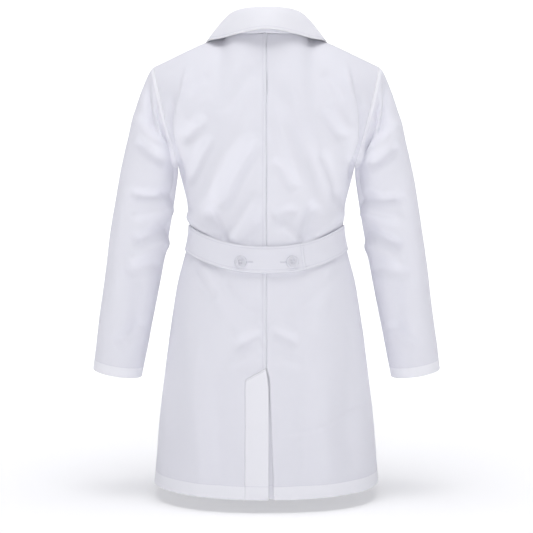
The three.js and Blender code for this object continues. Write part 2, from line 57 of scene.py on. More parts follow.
COAT_LENGTH = 850
SHOULDER_DROP = 50
SHOULDER_ARCH = 5.5
ARMHOLE_LENGTH = 190
UNDERARM_LEVEL = SHOULDER_DROP + ARMHOLE_LENGTH
LEVELS = (UNDERARM_LEVEL, 357, 482, 680, COAT_LENGTH)
SIDE_HALVES = (172, 149, 175, 202, 217)
BACK_DEPTHS = (132, 118, 146, 165, 178)
FRONT_DEPTHS = (125, 110, 138, 152, 163)
BODY_SQUARENESS = 2.3
BLADE_FULLNESS = 18
BUST_FULLNESS = 10

SHOULDER_HALF = 219
UNDERARM_HALF = SIDE_HALVES[0]
NECK_HALF = 78
NECK_BACK = 75
NECK_RISE = 10
NECK_SHARE = 0.36
ARMHOLE_BACK = 55
ARMHOLE_FRONT = 48

SLEEVE_LENGTH = 597
SLEEVE_TILT = math.radians(11.4)
CUFF_WIDTH = 95
CUFF_SLANT = math.radians(9.7)
CUFF_HALF_DEPTH = 48
BICEP_HALF_DEPTH = 62
SLEEVE_FULLNESS = 23
SLEEVE_DIP = 5
SLEEVE_CLEARANCE = 3.4

FRONT_EDGE_HALF = 15
BREAK_LEVEL = 290
LAPEL_WIDTH = 62
LAPEL_TOP_LEVEL = 92
FACING_TOP = 24
LINING_DROP = 2.2
STAND_HEIGHT = 48
COLLAR_FALL = 45
COLLAR_REACH = 38
COLLAR_END_LEVEL = 82
COLLAR_STEP = 1.1

VENT_LEVEL = 620
VENT_OVERLAP = 4
VENT_FACING = 38
VENT_SLANT = 21
VENT_SPREAD = 8.4

BELT_WIDTH = 48
BELT_LEVEL = 381
BELT_DROOP = 46
OVER_STRAP_END = 68
UNDER_STRAP_END = 72
BELT_BUTTON_REACH = 46
BELT_BUTTON_LEVEL = BELT_LEVEL + BELT_DROOP + 5

BUTTON_RADIUS = 11.7
HOLE_OFFSET = 2.6
HOLE_RADIUS = 1.25
THREAD_RADIUS = 0.5
BUTTONHOLE_START = 24
BUTTONHOLE_LENGTH = 12
FRONT_BUTTON_LEVELS = (300, 390, 480, 570)
FRONT_BUTTON_INSET = 16

POCKET_LIFT = 2.2
LOWER_POCKET_START = 48
LOWER_POCKET_WIDTH = 112
LOWER_POCKET_TOP = 462
LOWER_POCKET_DEPTH = 170
CHEST_POCKET_TOP = 140
CHEST_POCKET_DEPTH = 122

LOOP_HALF = 32
LOOP_DROP = 24
LOOP_WIDTH = 6
LOOP_THICKNESS = 1.6

CLOTH = 1.1
LIGHT_CLOTH = 0.8
SEAM_GAP = 0.06
HEM = 24
CUFF_HEM = 20
EDGE_STITCH = 5

# ---------------------------------------------------------------- shapes of the body


def smooth(value):
    """0 below 0, 1 above 1, and the cubic that joins them without a corner."""
    t = np.clip(value, 0, 1)
    return t * t * (3 - 2 * t)


def xyz(x, y, z):
    """Three arrays as one array of points."""
    return np.stack(np.broadcast_arrays(x, y, z), axis=-1).astype(float)


def profile(values):
    """A cubic against depth below the neck, through a value at each level, with averaged slopes."""
    levels = np.array(LEVELS, float)
    heights = np.array(values, float)
    slopes = np.empty_like(heights)
    slopes[1:-1] = (heights[2:] - heights[:-2]) / (levels[2:] - levels[:-2])
    slopes[0] = (heights[1] - heights[0]) / (levels[1] - levels[0])
    slopes[-1] = (heights[-1] - heights[-2]) / (levels[-1] - levels[-2])

    def at(depth):
        depth = np.clip(depth, levels[0], levels[-1])
        i = np.clip(np.searchsorted(levels, depth, side="right") - 1, 0, len(levels) - 2)
        span = levels[i + 1] - levels[i]
        t = (depth - levels[i]) / span
        rise = slopes[i] * span * (t - 2 * t**2 + t**3)
        land = slopes[i + 1] * span * (t**3 - t**2)
        return heights[i] + (heights[i + 1] - heights[i]) * (3 * t**2 - 2 * t**3) + rise + land

    return at


side_half = profile(SIDE_HALVES)
back_depth = profile(BACK_DEPTHS)
front_depth = profile(FRONT_DEPTHS)


def slice_depth(share):
    """Depth of a level slice against its share of the half width: a superellipse."""
    rest = np.maximum(0, 1 - np.abs(share) ** BODY_SQUARENESS)
    return rest ** (1 / BODY_SQUARENESS)


def share_of(turn):
    """A turn of 0 to 1 from the middle to the side, as a share of the half width."""
    return np.sin(np.asarray(turn) * math.pi / 2)


def turn_of(share):
    """The turn that gives this share of the half width."""
    return np.arcsin(np.clip(share, -1, 1)) * 2 / math.pi


def armhole(turn, reach):
    """Half an ellipse from under the arm, at turn 0, to the shoulder tip, bulging by reach."""
    rise = (1 - np.cos(math.pi * turn)) / 2
    x = UNDERARM_HALF + (SHOULDER_HALF - UNDERARM_HALF) * rise
    return xyz(x, reach * np.sin(math.pi * turn), ARMHOLE_LENGTH * rise - UNDERARM_LEVEL)


def four_edged(u, v, bottom, top, left, right):
    """A blend between four edge curves, less the straight blend of their four corners."""
    a = u[..., None]
    b = v[..., None]
    zero = np.zeros(1)
    one = np.ones(1)
    ruled = (1 - b) * bottom(u) + b * top(u) + (1 - a) * left(v) + a * right(v)
    low = (1 - a) * bottom(zero) + a * bottom(one)
    high = (1 - a) * top(zero) + a * top(one)
    return ruled - (1 - b) * low - b * high


def shoulder_seam(t):
    """A line from the side of the neck to the shoulder tip, arched a little where the collar rests."""
    x = NECK_HALF + (SHOULDER_HALF - NECK_HALF) * t
    arch = SHOULDER_ARCH * np.sin(math.pi * np.clip(t, 0, 1) ** 0.6)
    return xyz(x, 0 * t, NECK_RISE - (SHOULDER_DROP + NECK_RISE) * t + arch)


def back_top(u):
    """A quarter ellipse round the back of the neck, then the shoulder seam."""
    turn = np.clip(u / NECK_SHARE, 0, 1) * math.pi / 2
    neck = xyz(NECK_HALF * np.sin(turn), -NECK_BACK * np.cos(turn), NECK_RISE * np.sin(turn) ** 2)
    seam = shoulder_seam(np.clip((u - NECK_SHARE) / (1 - NECK_SHARE), 0, 1))
    return np.where((u < NECK_SHARE)[..., None], neck, seam)


def back_slice(u, depth):
    """A level slice of the back."""
    share = share_of(u)
    return xyz(side_half(depth) * share, -back_depth(depth) * slice_depth(share), -depth)


def back_surface(u, depth):
    """The back: level slices up to the underarm, and above it a four-edged surface with fuller blades."""
    u, depth = np.broadcast_arrays(np.asarray(u, float), np.asarray(depth, float))
    turn = np.abs(u)
    v = np.clip(1 - depth / UNDERARM_LEVEL, 0, 1)
    drop = BACK_DEPTHS[0] - NECK_BACK
    yoke = four_edged(
        turn,
        v,
        lambda s: back_slice(s, np.full_like(s, UNDERARM_LEVEL)),
        back_top,
        lambda t: xyz(0 * t, drop * t**2.2 - BACK_DEPTHS[0], -UNDERARM_LEVEL * (1 - t)),
        lambda t: armhole(t, -ARMHOLE_BACK),
    )
    yoke[..., 1] -= BLADE_FULLNESS * np.sin(math.pi * turn) * np.sin(math.pi * v)
    yoke[..., 0] *= np.where(u < 0, -1, 1)
    return np.where((depth >= UNDERARM_LEVEL)[..., None], back_slice(u, depth), yoke)


def back_turn(x, depth):
    """The turn at which the back is x from the middle."""
    return turn_of(x / side_half(depth))


def back_at(x, depth):
    """The back at a distance from the middle and a depth."""
    return back_surface(back_turn(x, depth), depth)


def front_edge(depth):
    """The front edge: straight up to the break of the lapel, then in along the roll line."""
    rolled = np.clip((BREAK_LEVEL - depth) / (BREAK_LEVEL + NECK_RISE), 0, 1)
    return FRONT_EDGE_HALF + (NECK_HALF - FRONT_EDGE_HALF) * rolled


def front_first(depth):
    """The turn of the front edge."""
    return turn_of(front_edge(depth) / side_half(depth))


def front_slice(u, depth):
    """A level slice of a front, from its edge to the side."""
    first = front_first(depth)
    share = share_of(first + (1 - first) * u)
    return xyz(side_half(depth) * share, front_depth(depth) * slice_depth(share), -depth)


def front_turn(x, depth):
    """The turn at which a front is x from the middle."""
    first = front_first(depth)
    return (turn_of(x / side_half(depth)) - first) / (1 - first)


def roll_line(v):
    """The fold of the lapel, from the underarm level up to the side of the neck."""
    start = front_slice(np.zeros(1), np.full(1, float(UNDERARM_LEVEL)))[0]
    x = start[0] + (NECK_HALF - start[0]) * v
    return xyz(x, start[1] * (1 - v**2.8), start[2] + (NECK_RISE - start[2]) * v)


def front_surface(u, depth):
    """A front: level slices up to the underarm, and above it a four-edged surface with a fuller bust."""
    u, depth = np.broadcast_arrays(np.asarray(u, float), np.asarray(depth, float))
    v = np.clip(1 - depth / UNDERARM_LEVEL, 0, 1)
    yoke = four_edged(
        u,
        v,
        lambda s: front_slice(s, np.full_like(s, UNDERARM_LEVEL)),
        shoulder_seam,
        roll_line,
        lambda t: armhole(t, ARMHOLE_FRONT),
    )
    yoke[..., 1] += BUST_FULLNESS * np.sin(math.pi * u) * np.sin(math.pi * v)
    return np.where((depth >= UNDERARM_LEVEL)[..., None], front_slice(u, depth), yoke)


# ---------------------------------------------------------------- grids, folds and closed sheets


def grid(columns, rows):
    """Two parameters from 0 to 1 on a grid: across, and down from the top row."""
    return np.meshgrid(np.linspace(0, 1, columns), np.linspace(0, 1, rows))


def relaxed(points, passes):
    """Each row near the underarm level eased towards the rows above and below, away from the side seam."""
    columns = points.shape[1]
    hold = (1 - np.linspace(0, 1, columns) ** 10)[None, :, None]
    near = 1 - smooth(np.abs(points[1:-1, :, 2:] + UNDERARM_LEVEL) / 70 - 0.3)
    for _ in range(passes):
        middle = (points[:-2] + points[2:]) / 2 - points[1:-1]
        points[1:-1] += 0.5 * middle * hold * near
    return points


def hem_droop(points):
    """The back's hem hangs lowest at the middle."""
    low = np.clip(-points[..., 2] / COAT_LENGTH, 0, 1) ** 6
    share = points[..., 0] / SIDE_HALVES[-1]
    points[..., 2] -= 4.5 * low * (1 - share**2)
    return points


def levelled(points, passes, depth):
    """Each row's points eased towards their neighbours along the row, from this depth below the neck down."""
    fade = smooth((-points[:, :1, 2] - 4) / depth)[:, :, None]
    for _ in range(passes):
        middle = (points[:, :-2] + points[:, 2:]) / 2 - points[:, 1:-1]
        points[:, 1:-1] += 0.5 * middle * fade
    return points


def normals(points, sign, wrap=False):
    """Unit normals of a grid from its two difference directions, with sign choosing the side."""
    if wrap:
        across = np.roll(points, -1, axis=1) - np.roll(points, 1, axis=1)
    else:
        across = np.gradient(points, axis=1)
    down = np.gradient(points, axis=0)
    normal = np.cross(across, down) * sign
    length = np.linalg.norm(normal, axis=-1, keepdims=True)
    return normal / np.maximum(length, 1e-9)


def arc_lengths(points):
    """Distances along the grid in millimetres: across from the first column, and up from the last row."""
    across = np.linalg.norm(np.diff(points, axis=1), axis=-1)
    down = np.linalg.norm(np.diff(points, axis=0), axis=-1)
    from_first = np.concatenate([np.zeros((len(points), 1)), np.cumsum(across, axis=1)], axis=1)
    from_top = np.concatenate([np.zeros((1, points.shape[1])), np.cumsum(down, axis=0)])
    return from_first, from_top


def curve_points(path, steps=8):
    """Points along a Catmull-Rom curve through a path of two or more places in the plane."""
    path = np.array(path, float)
    ends = [2 * path[0] - path[1], 2 * path[-1] - path[-2]]
    a, b, c, d = (np.concatenate([[ends[0]], path, [ends[1]]])[k : len(path) - 1 + k] for k in range(4))
    f = (np.arange(steps) / steps)[:, None, None]
    curve = 2 * b + (c - a) * f + (2 * a - 5 * b + 4 * c - d) * f**2 + (3 * b - a - 3 * c + d) * f**3
    return np.concatenate([(curve / 2).swapaxes(0, 1).reshape(-1, 2), path[-1:]])


def fold(points, path, width, height, sharp=0.0):
    """A rounded ridge, or a valley if height is negative, along a path of (distance from the middle, level).

    It fades out at both ends, and sharp narrows the side that is further from the middle.
    """
    curve = curve_points(path)
    place = np.stack([np.abs(points[..., 0]), points[..., 2]], axis=-1)
    lengths = np.concatenate([[0], np.cumsum(np.linalg.norm(np.diff(curve, axis=0), axis=-1))])
    best = np.full(place.shape[:2], 1e9)
    along = np.zeros_like(best)
    outside = np.zeros_like(best)
    for i, (a, b) in enumerate(zip(curve[:-1], curve[1:])):
        line = b - a
        t = np.clip((place - a) @ line / (line @ line), 0, 1)
        off = place - a - t[..., None] * line
        away = np.linalg.norm(off, axis=-1)
        nearer = away < best
        best = np.where(nearer, away, best)
        along = np.where(nearer, (lengths[i] + t * (lengths[i + 1] - lengths[i])) / lengths[-1], along)
        outside = np.where(nearer, off[..., 0], outside)
    narrow = 1 - sharp * smooth(outside / width + 0.5)
    fade = smooth(along / 0.3 + 0.25) * smooth((1 - along) / 0.3 + 0.25)
    return height * np.exp(-((best / (width * narrow)) ** 2)) * fade


def folds(points, listed, keep):
    """All the listed folds added up, where keep is true."""
    total = np.zeros(points.shape[:2])
    for path, width, height, *sharp in listed:
        total += fold(points, path, width, height, *sharp)
    return total * keep


def seamed(s, depth):
    """0 at a panel's side and shoulder seams and 1 within it, so that neighbours still meet there."""
    return smooth((1 - s) / 0.07) * smooth(depth / 30)


def ripple(points, size):
    """Slow waves that climb towards the middle, so that no panel lies dead flat."""
    x = np.abs(points[..., 0])
    z = points[..., 2]
    side = np.where(points[..., 0] < 0, 0.0, 1.7)
    one = np.sin((x * 0.8 + z * 0.6) / 15 + side)
    two = np.sin((x * 0.9 + z * 0.35) / 9 + 2 * side + 0.02 * z)
    return size * (0.65 * one + 0.35 * two)


def smooth_mesh(name, points, faces):
    """A smooth-shaded mesh in metres, from points in millimetres."""
    mesh = bpy.data.meshes.new(name)
    mesh.from_pydata((points * MM).tolist(), [], faces)
    mesh.polygons.foreach_set("use_smooth", np.ones(len(faces), bool))
    mesh.update()
    return mesh


def numbered(rows, columns, wrap):
    """A grid's point numbers, with the first column again at the end if it wraps, and its cells as faces."""
    number = np.arange(rows * columns).reshape(rows, columns)
    if wrap:
        number = np.concatenate([number, number[:, :1]], axis=1)
    corners = [number[:-1, :-1], number[:-1, 1:], number[1:, 1:], number[1:, :-1]]
    return number, np.stack([c.ravel() for c in corners], axis=1)


def closed_sheet(name, points, normal, thickness, sign, wrap=False):
    """A mesh of two skins, half a thickness to either side of the grid, joined round the edges."""
    skins = [points + normal * thickness / 2, points - normal * thickness / 2]
    number, outer = numbered(*points.shape[:2], wrap)
    count = points.shape[0] * points.shape[1]
    inner = outer[:, ::-1] + count
    edges = [(number[0, 1:], number[0, :-1]), (number[-1, :-1], number[-1, 1:])]
    if not wrap:
        edges += [(number[:-1, 0], number[1:, 0]), (number[1:, -1], number[:-1, -1])]
    rims = [np.stack([a, b, b + count, a + count], axis=1) for a, b in edges]
    faces = np.concatenate([outer, inner, *rims])
    if sign < 0:
        faces = faces[:, ::-1]
    return smooth_mesh(name, np.concatenate([skin.reshape(-1, 3) for skin in skins]), faces.tolist())


def wrapped(points, wrap):
    """A grid, with its first column again at the end if it wraps."""
    return np.concatenate([points, points[:, :1]], axis=1) if wrap else points


def add_distances(mesh, points, wrap):
    """Two UV maps in metres: near holds distances from the first column and last row, far from the others."""
    from_first, from_top = arc_lengths(wrapped(points, wrap))
    near = np.stack([from_first, from_top[-1:] - from_top], axis=-1)
    far = np.stack([from_first[:, -1:] - from_first, from_top], axis=-1)
    loops = np.empty(len(mesh.loops), int)
    mesh.loops.foreach_get("vertex_index", loops)
    for title, values in (("near", near), ("far", far)):
        values = values[:, : points.shape[1]].reshape(-1, 2)
        picked = values[loops % len(values)] * MM
        mesh.uv_layers.new(name=title).data.foreach_set("uv", picked.ravel())


def add_object(name, mesh, material, body):
    """An object for a mesh, with its material, riding on a body."""
    piece = bpy.data.objects.new(name, mesh)
    bpy.context.scene.collection.objects.link(piece)
    mesh.materials.append(material)
    if body:
        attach(piece, body)
    return piece


def cloth_piece(
    name, points, sign, material, body, nodes, flat=None, held="draped", thickness=CLOTH, slot="white_twill",
    wrap=False,
):  # fmt: skip
    """A closed sheet with its distances, material, body, the nodes it stands for, and its flat size."""
    mesh = closed_sheet(name, points, normals(points, sign, wrap), thickness, sign, wrap)
    flat = points if flat is None else flat
    add_distances(mesh, flat, wrap)
    piece = add_object(name, mesh, material, body)
    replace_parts(piece, *nodes)
    return piece


# ---------------------------------------------------------------- materials


def linear(code):
    """An sRGB hex colour as linear RGBA."""
    parts = [int(code[i : i + 2], 16) / 255 for i in (0, 2, 4)]
    return tuple(c / 12.92 if c <= 0.04045 else ((c + 0.055) / 1.055) ** 2.4 for c in parts) + (1,)


def add(tree, kind, *values, at=None, output=0, **named):
    """A node of this kind, as one of its outputs. Each input is a value or a socket to link from.

    values fill the first inputs in order, and at fills others by number. A name with a capital is an
    input, and any other is a setting.
    """
    node = tree.nodes.new("ShaderNode" + kind)
    inputs = {**dict(enumerate(values)), **(at or {})}
    for name, value in named.items():
        if name[0].isupper():
            inputs[name] = value
        else:
            setattr(node, name, value)
    for key, value in inputs.items():
        if isinstance(value, bpy.types.NodeSocket):
            tree.links.new(value, node.inputs[key])
        else:
            node.inputs[key].default_value = value
    return node.outputs[output]


def shader(name, colour, **finish):
    """A new material's tree and surface shader, with its plain colour and finish set on the shader."""
    material = bpy.data.materials.new(name)
    material.use_nodes = True
    surface = material.node_tree.nodes["Principled BSDF"]
    surface.inputs["Base Color"].default_value = colour
    for key, value in finish.items():
        surface.inputs[key.replace("_", " ")].default_value = value
    return material, material.node_tree, surface


# Lengths in metres, and relief in shares of the bump's 0.4 mm.
STITCH_PITCH = 0.0036
STITCH_HALF_WIDTH = 0.0009
TWILL_PITCH = 0.0016
PUCKER_REACH = 0.011
WALE_HEIGHT = 0.05
SLUB_HEIGHT = 0.22
RUMPLE_HEIGHT = 1.1
STITCH_HEIGHT = -0.8
PUCKER_HEIGHT = 1.5

BASE_TONE = "F2F2F8"
# The doubled tone is painted light: doubled cloth is drawn lighter, for the shade from inside the coat that
# shows through single cloth.
DOUBLED_PAINTED_LIGHT_TONE = "FBFBFF"
ACROSS_FROM = {"across": "down", "down": "across"}


def distance_sockets(tree):
    """The four distances in metres that a seam can be measured from."""
    sockets = {}
    for title in ("near", "far"):
        uv = add(tree, "UVMap", uv_map=title)
        for output, way in enumerate(("across", "down")):
            sockets[title, way] = add(tree, "SeparateXYZ", uv, output=output)
    return sockets


def seam_mask(tree, distance, place, half_width):
    """1 on a line at this distance, falling smoothly to 0 at its half width."""
    offset = add(tree, "Math", distance, place, operation="SUBTRACT")
    away = add(tree, "Math", offset, operation="ABSOLUTE")
    return add(tree, "MapRange", away, 0, half_width, 1, 0, interpolation_type="SMOOTHSTEP")


def stitch_dashes(tree, run):
    """Rounded dashes along a seam, one to each stitch."""
    phase = add(tree, "Math", run, 2 * math.pi / STITCH_PITCH, operation="MULTIPLY")
    wave = add(tree, "Math", phase, operation="SINE")
    return add(tree, "Math", wave, 0.3, 0.7, operation="MULTIPLY_ADD")


def twill(name, stitches=(), puckers=(), doubled_painted_light=(), tone=BASE_TONE):
    """Poly-cotton twill, woven and pressed: matte white with a fine diagonal, and topstitching sunk into it.
    Painted shade darkens the stitch lines and, faintly, the rumple's hollows.

    stitches, puckers and the doubled bands list (map, direction, distance in mm). A fourth number stops a
    stitch line that far from the edge it runs to. Doubled cloth, turned back on itself along an edge, lets
    less light through, so less shade from inside the coat shows on it: its bands are painted lighter, as
    painted light.
    The diagonal is drawn coarser than the real 0.5 mm wale, so that it shows.
    """
    material, tree, surface = shader(
        name, linear(tone), Roughness=0.82, Sheen_Weight=0.12, Sheen_Roughness=0.5
    )
    place = add(tree, "TexCoord", output="Object")
    distances = distance_sockets(tree)
    diagonal = add(tree, "Math", distances["near", "across"], distances["near", "down"], operation="ADD")
    phase = add(tree, "Math", diagonal, 2 * math.pi / TWILL_PITCH, operation="MULTIPLY")
    wale = add(tree, "Math", phase, operation="SINE")
    slub = add(tree, "TexNoise", Vector=place, Scale=420, Detail=3, Roughness=0.6)
    rumple = add(tree, "TexNoise", Vector=place, Scale=26, Detail=3, Roughness=0.5)
    height = add(tree, "Math", wale, WALE_HEIGHT, operation="MULTIPLY")
    height = add(tree, "Math", slub, SLUB_HEIGHT, height, operation="MULTIPLY_ADD")
    height = add(tree, "Math", rumple, RUMPLE_HEIGHT, height, operation="MULTIPLY_ADD")
    shade = 0.0
    for title, direction, distance, *above in stitches:
        run = distances[title, ACROSS_FROM[direction]]
        line = seam_mask(tree, distances[title, direction], distance * MM, STITCH_HALF_WIDTH)
        if above:
            shown = add(tree, "Math", run, above[0] * MM, operation="GREATER_THAN")
            line = add(tree, "Math", line, shown, operation="MULTIPLY")
        sunk = add(tree, "Math", line, stitch_dashes(tree, run), operation="MULTIPLY")
        height = add(tree, "Math", sunk, STITCH_HEIGHT, height, operation="MULTIPLY_ADD")
        shade = add(tree, "Math", shade, sunk, operation="MAXIMUM")
    for title, direction, distance in puckers:
        away = distances[title, direction]
        band = seam_mask(tree, away, distance * MM, PUCKER_REACH)
        along = add(tree, "Math", distances[title, ACROSS_FROM[direction]], 95, operation="MULTIPLY")
        over = add(tree, "Math", away, 30, operation="MULTIPLY")
        coordinates = add(tree, "CombineXYZ", along, over)
        waves = add(tree, "TexNoise", Vector=coordinates, Scale=1, Detail=1.5)
        pucker = add(tree, "Math", band, waves, operation="MULTIPLY")
        height = add(tree, "Math", pucker, PUCKER_HEIGHT, height, operation="MULTIPLY_ADD")
    bump = add(tree, "Bump", Strength=1, Distance=0.0004, Height=height)
    tree.links.new(bump, surface.inputs["Normal"])
    # Painted shade: the colour darkens by up to 1.5% where the rumple noise, which also lifts the relief, is
    # low.
    painted_rumple_shade = add(tree, "MapRange", rumple, at={3: 0.985, 4: 1})
    mixed = {0: 1, 6: linear(tone), 7: painted_rumple_shade}
    colour = add(tree, "Mix", at=mixed, output=2, data_type="RGBA", blend_type="MULTIPLY")
    # Painted light: each band of doubled cloth is drawn in the lighter tone.
    for title, direction, distance in doubled_painted_light:
        edge = distances[title, direction]
        band = add(tree, "MapRange", edge, (distance - 0.4) * MM, (distance + 0.4) * MM, 1, 0)
        mixed = {0: band, 6: colour, 7: linear(DOUBLED_PAINTED_LIGHT_TONE)}
        colour = add(tree, "Mix", at=mixed, output=2, data_type="RGBA")
    # Painted shade: the sunk stitch lines are drawn darker, towards a lavender grey.
    if stitches:
        depth = add(tree, "Math", shade, 0.55, operation="MULTIPLY")
        mixed = {0: depth, 6: colour, 7: linear("D4D4E0")}
        colour = add(tree, "Mix", at=mixed, output=2, data_type="RGBA")
    tree.links.new(colour, surface.inputs["Base Color"])
    return material


def plain_finish(name, tones, pattern, bump, **finish):
    """A material of two tones that one pattern mixes, with a second pattern, or the same, as its relief."""
    material, tree, surface = shader(name, linear(tones[0]), **finish)
    place = add(tree, "TexCoord", output="Object")
    kind, settings = pattern
    mask = add(tree, kind, output="Fac", Vector=place, **settings)
    if len(tones) > 1:
        mixed = {0: mask, 6: linear(tones[0]), 7: linear(tones[1])}
        tree.links.new(add(tree, "Mix", at=mixed, output=2, data_type="RGBA"), surface.inputs["Base Color"])
    grain, strength, distance = bump
    height = add(tree, "TexNoise", Vector=place, **grain) if grain else mask
    relief = add(tree, "Bump", Strength=strength, Distance=distance, Height=height)
    tree.links.new(relief, surface.inputs["Normal"])
    return material


def moulded_button():
    """Cast polyester button, tumbled to a soft satin, faintly mottled: its own clean cool white is painted
    down to a light grey, painted shade that makes it stand out on the cloth.
    """
    cloud = ("TexNoise", {"Scale": 160, "Detail": 3})
    grain = ({"Scale": 1500, "Detail": 2}, 0.3, 0.0001)
    # Painted shade: both tones are greyer than the button's own white.
    return plain_finish(
        "cast_polyester_button", ("DCDCE3", "ECECF2"), cloud, grain, Roughness=0.31, IOR=1.54
    )


def spun_thread():
    """Spun polyester sewing thread: white, painted a light grey as shade in the holes and slits it lies in,
    with the twist of its strands across it.
    """
    twist = ("TexWave", {"Scale": 900, "Distortion": 1.5})
    relief = (None, 0.5, 0.0001)
    # Painted shade: both tones are greyer than the thread's own white.
    return plain_finish("spun_polyester_thread", ("D9D9E2", "EEEEF4"), twist, relief, Roughness=0.7)


def fusible_interlining():
    """Fused cotton interlining: flat off-white with an open plain weave."""
    weave = ("TexNoise", {"Scale": 600, "Detail": 2})
    return plain_finish("fused_cotton_interlining", ("E8E8E2",), weave, (None, 0.5, 0.0002), Roughness=0.95)


# ---------------------------------------------------------------- back and vent

SIDES = (("left", -1), ("right", 1))


def back_inner_edge(depth, sign):
    """How far from the middle a back panel begins: at the seam, then at the vent's folded or free edge."""
    below = depth - VENT_LEVEL
    share = np.clip(below / VENT_SLANT, 0, 1)
    if sign < 0:
        return SEAM_GAP / 2 + (VENT_FACING - SEAM_GAP / 2) * share
    opening = VENT_OVERLAP + 0.6
    spread = VENT_SPREAD * np.maximum(below, 0) / (COAT_LENGTH - VENT_LEVEL)
    return SEAM_GAP / 2 + (opening - SEAM_GAP / 2) * share + spread


def belt_middle(share):
    """Level of the belt's middle against the share of the back's half width."""
    return BELT_LEVEL + BELT_DROOP * (1 - np.abs(share) ** 2.2)


FOLD_RELIEF = 1.3  # how much deeper every fold is pressed than it is listed
BACK_FOLDS = {
    -1: [
        ([(150, -62), (153, -102), (162, -144), (169, -176), (171, -204), (165, -245)], 12, 7.0, 0.5),
        ([(180, -120), (180, -160), (177, -195), (172, -222), (161, -280)], 8, -9.0),
        ([(150, -120), (132, -96), (104, -76)], 13, -3.4),
        ([(160, -205), (140, -190), (108, -165)], 12, -4.6),
        ([(150, -176), (128, -150), (96, -130)], 14, 3.2),
        ([(150, -285), (128, -245), (98, -195)], 12, -5.0),
        ([(122, -330), (104, -300), (77, -241), (49, -204), (14, -160)], 15, 6.0),
        ([(86, -335), (71, -306), (58, -278), (35, -241), (10, -205)], 13, -8.0),
        ([(80, -160), (56, -115), (34, -88), (12, -68)], 17, -6.0),
        ([(78, -398), (56, -372), (34, -335), (12, -300)], 13, 7.0),
        ([(112, -326), (99, -350), (78, -384), (66, -400)], 13, -8.0),
        ([(150, -330), (137, -352), (110, -386)], 11, 6.0),
        ([(40, -405), (24, -372), (6, -348)], 9, -4.0),
        ([(140, -430), (122, -462), (88, -498)], 12, -5.0),
        ([(124, -424), (98, -480), (62, -531), (30, -560)], 17, 5.0),
        ([(84, -460), (46, -500), (8, -526)], 13, -4.5),
        ([(60, -590), (30, -572), (4, -560)], 9, -3.0),
        ([(60, -568), (30, -552), (4, -542)], 9, 2.8),
        ([(70, -620), (36, -600), (4, -588)], 9, 2.4),
        ([(158, -460), (168, -560), (172, -700), (176, -800)], 18, -3.6),
        ([(120, -560), (126, -660), (118, -780), (112, -845)], 22, 6.0),
        ([(90, -640), (88, -740), (80, -845)], 18, -4.0),
    ],
    1: [
        ([(152, -62), (154, -102), (163, -144), (167, -176), (168, -204), (163, -245)], 12, 7.0, 0.5),
        ([(180, -120), (180, -160), (177, -195), (172, -222), (161, -280)], 8, -9.0),
        ([(104, -70), (126, -92), (152, -132)], 12, -4.4),
        ([(96, -150), (116, -170), (146, -205)], 12, -4.6),
        ([(110, -130), (134, -160), (156, -190)], 12, 3.2),
        ([(70, -175), (88, -220), (107, -259), (130, -312)], 14, 6.0),
        ([(98, -222), (116, -262), (138, -318)], 12, -6.0),
        ([(8, -100), (36, -140), (61, -185), (92, -250), (112, -320)], 18, -6.5),
        ([(8, -150), (28, -190), (46, -241), (60, -290)], 14, 4.0),
        ([(4, -246), (30, -262), (54, -300)], 12, -4.0),
        ([(96, -318), (82, -345), (68, -392), (66, -402)], 13, -8.0),
        ([(148, -328), (122, -350), (88, -386)], 11, 6.4),
        ([(66, -404), (46, -380), (22, -358)], 12, 5.0),
        ([(60, -340), (40, -338), (10, -352)], 11, -4.4),
        ([(142, -430), (116, -466), (66, -512), (30, -530)], 13, -5.0),
        ([(128, -426), (108, -480), (90, -560)], 17, 5.0),
        ([(60, -582), (30, -566), (4, -556)], 9, -3.0),
        ([(60, -560), (30, -546), (4, -536)], 9, 2.8),
        ([(70, -618), (36, -604), (4, -596)], 9, 2.4),
        ([(28, -738), (63, -736), (104, -726), (149, -707), (190, -694)], 3.0, 1.5),
        ([(152, -470), (160, -600), (152, -720), (156, -845)], 18, -3.6),
        ([(112, -600), (104, -700), (112, -845)], 22, 5.4),
        ([(70, -650), (66, -745), (60, -845)], 18, -3.4),
    ],
}


def back_folds(points):
    """How far the back's cloth stands off the body's shape: its folds, held down under the belt."""
    share = points[..., 0] / side_half(-points[..., 2])
    from_belt = np.abs(-points[..., 2] - belt_middle(share)) - BELT_WIDTH / 2
    total = ripple(points, 0.7)
    for sign, listed in BACK_FOLDS.items():
        total += FOLD_RELIEF * folds(points, listed, points[..., 0] * sign > 0)
    return total * (0.1 + 0.9 * smooth(from_belt / 14 + 0.2))


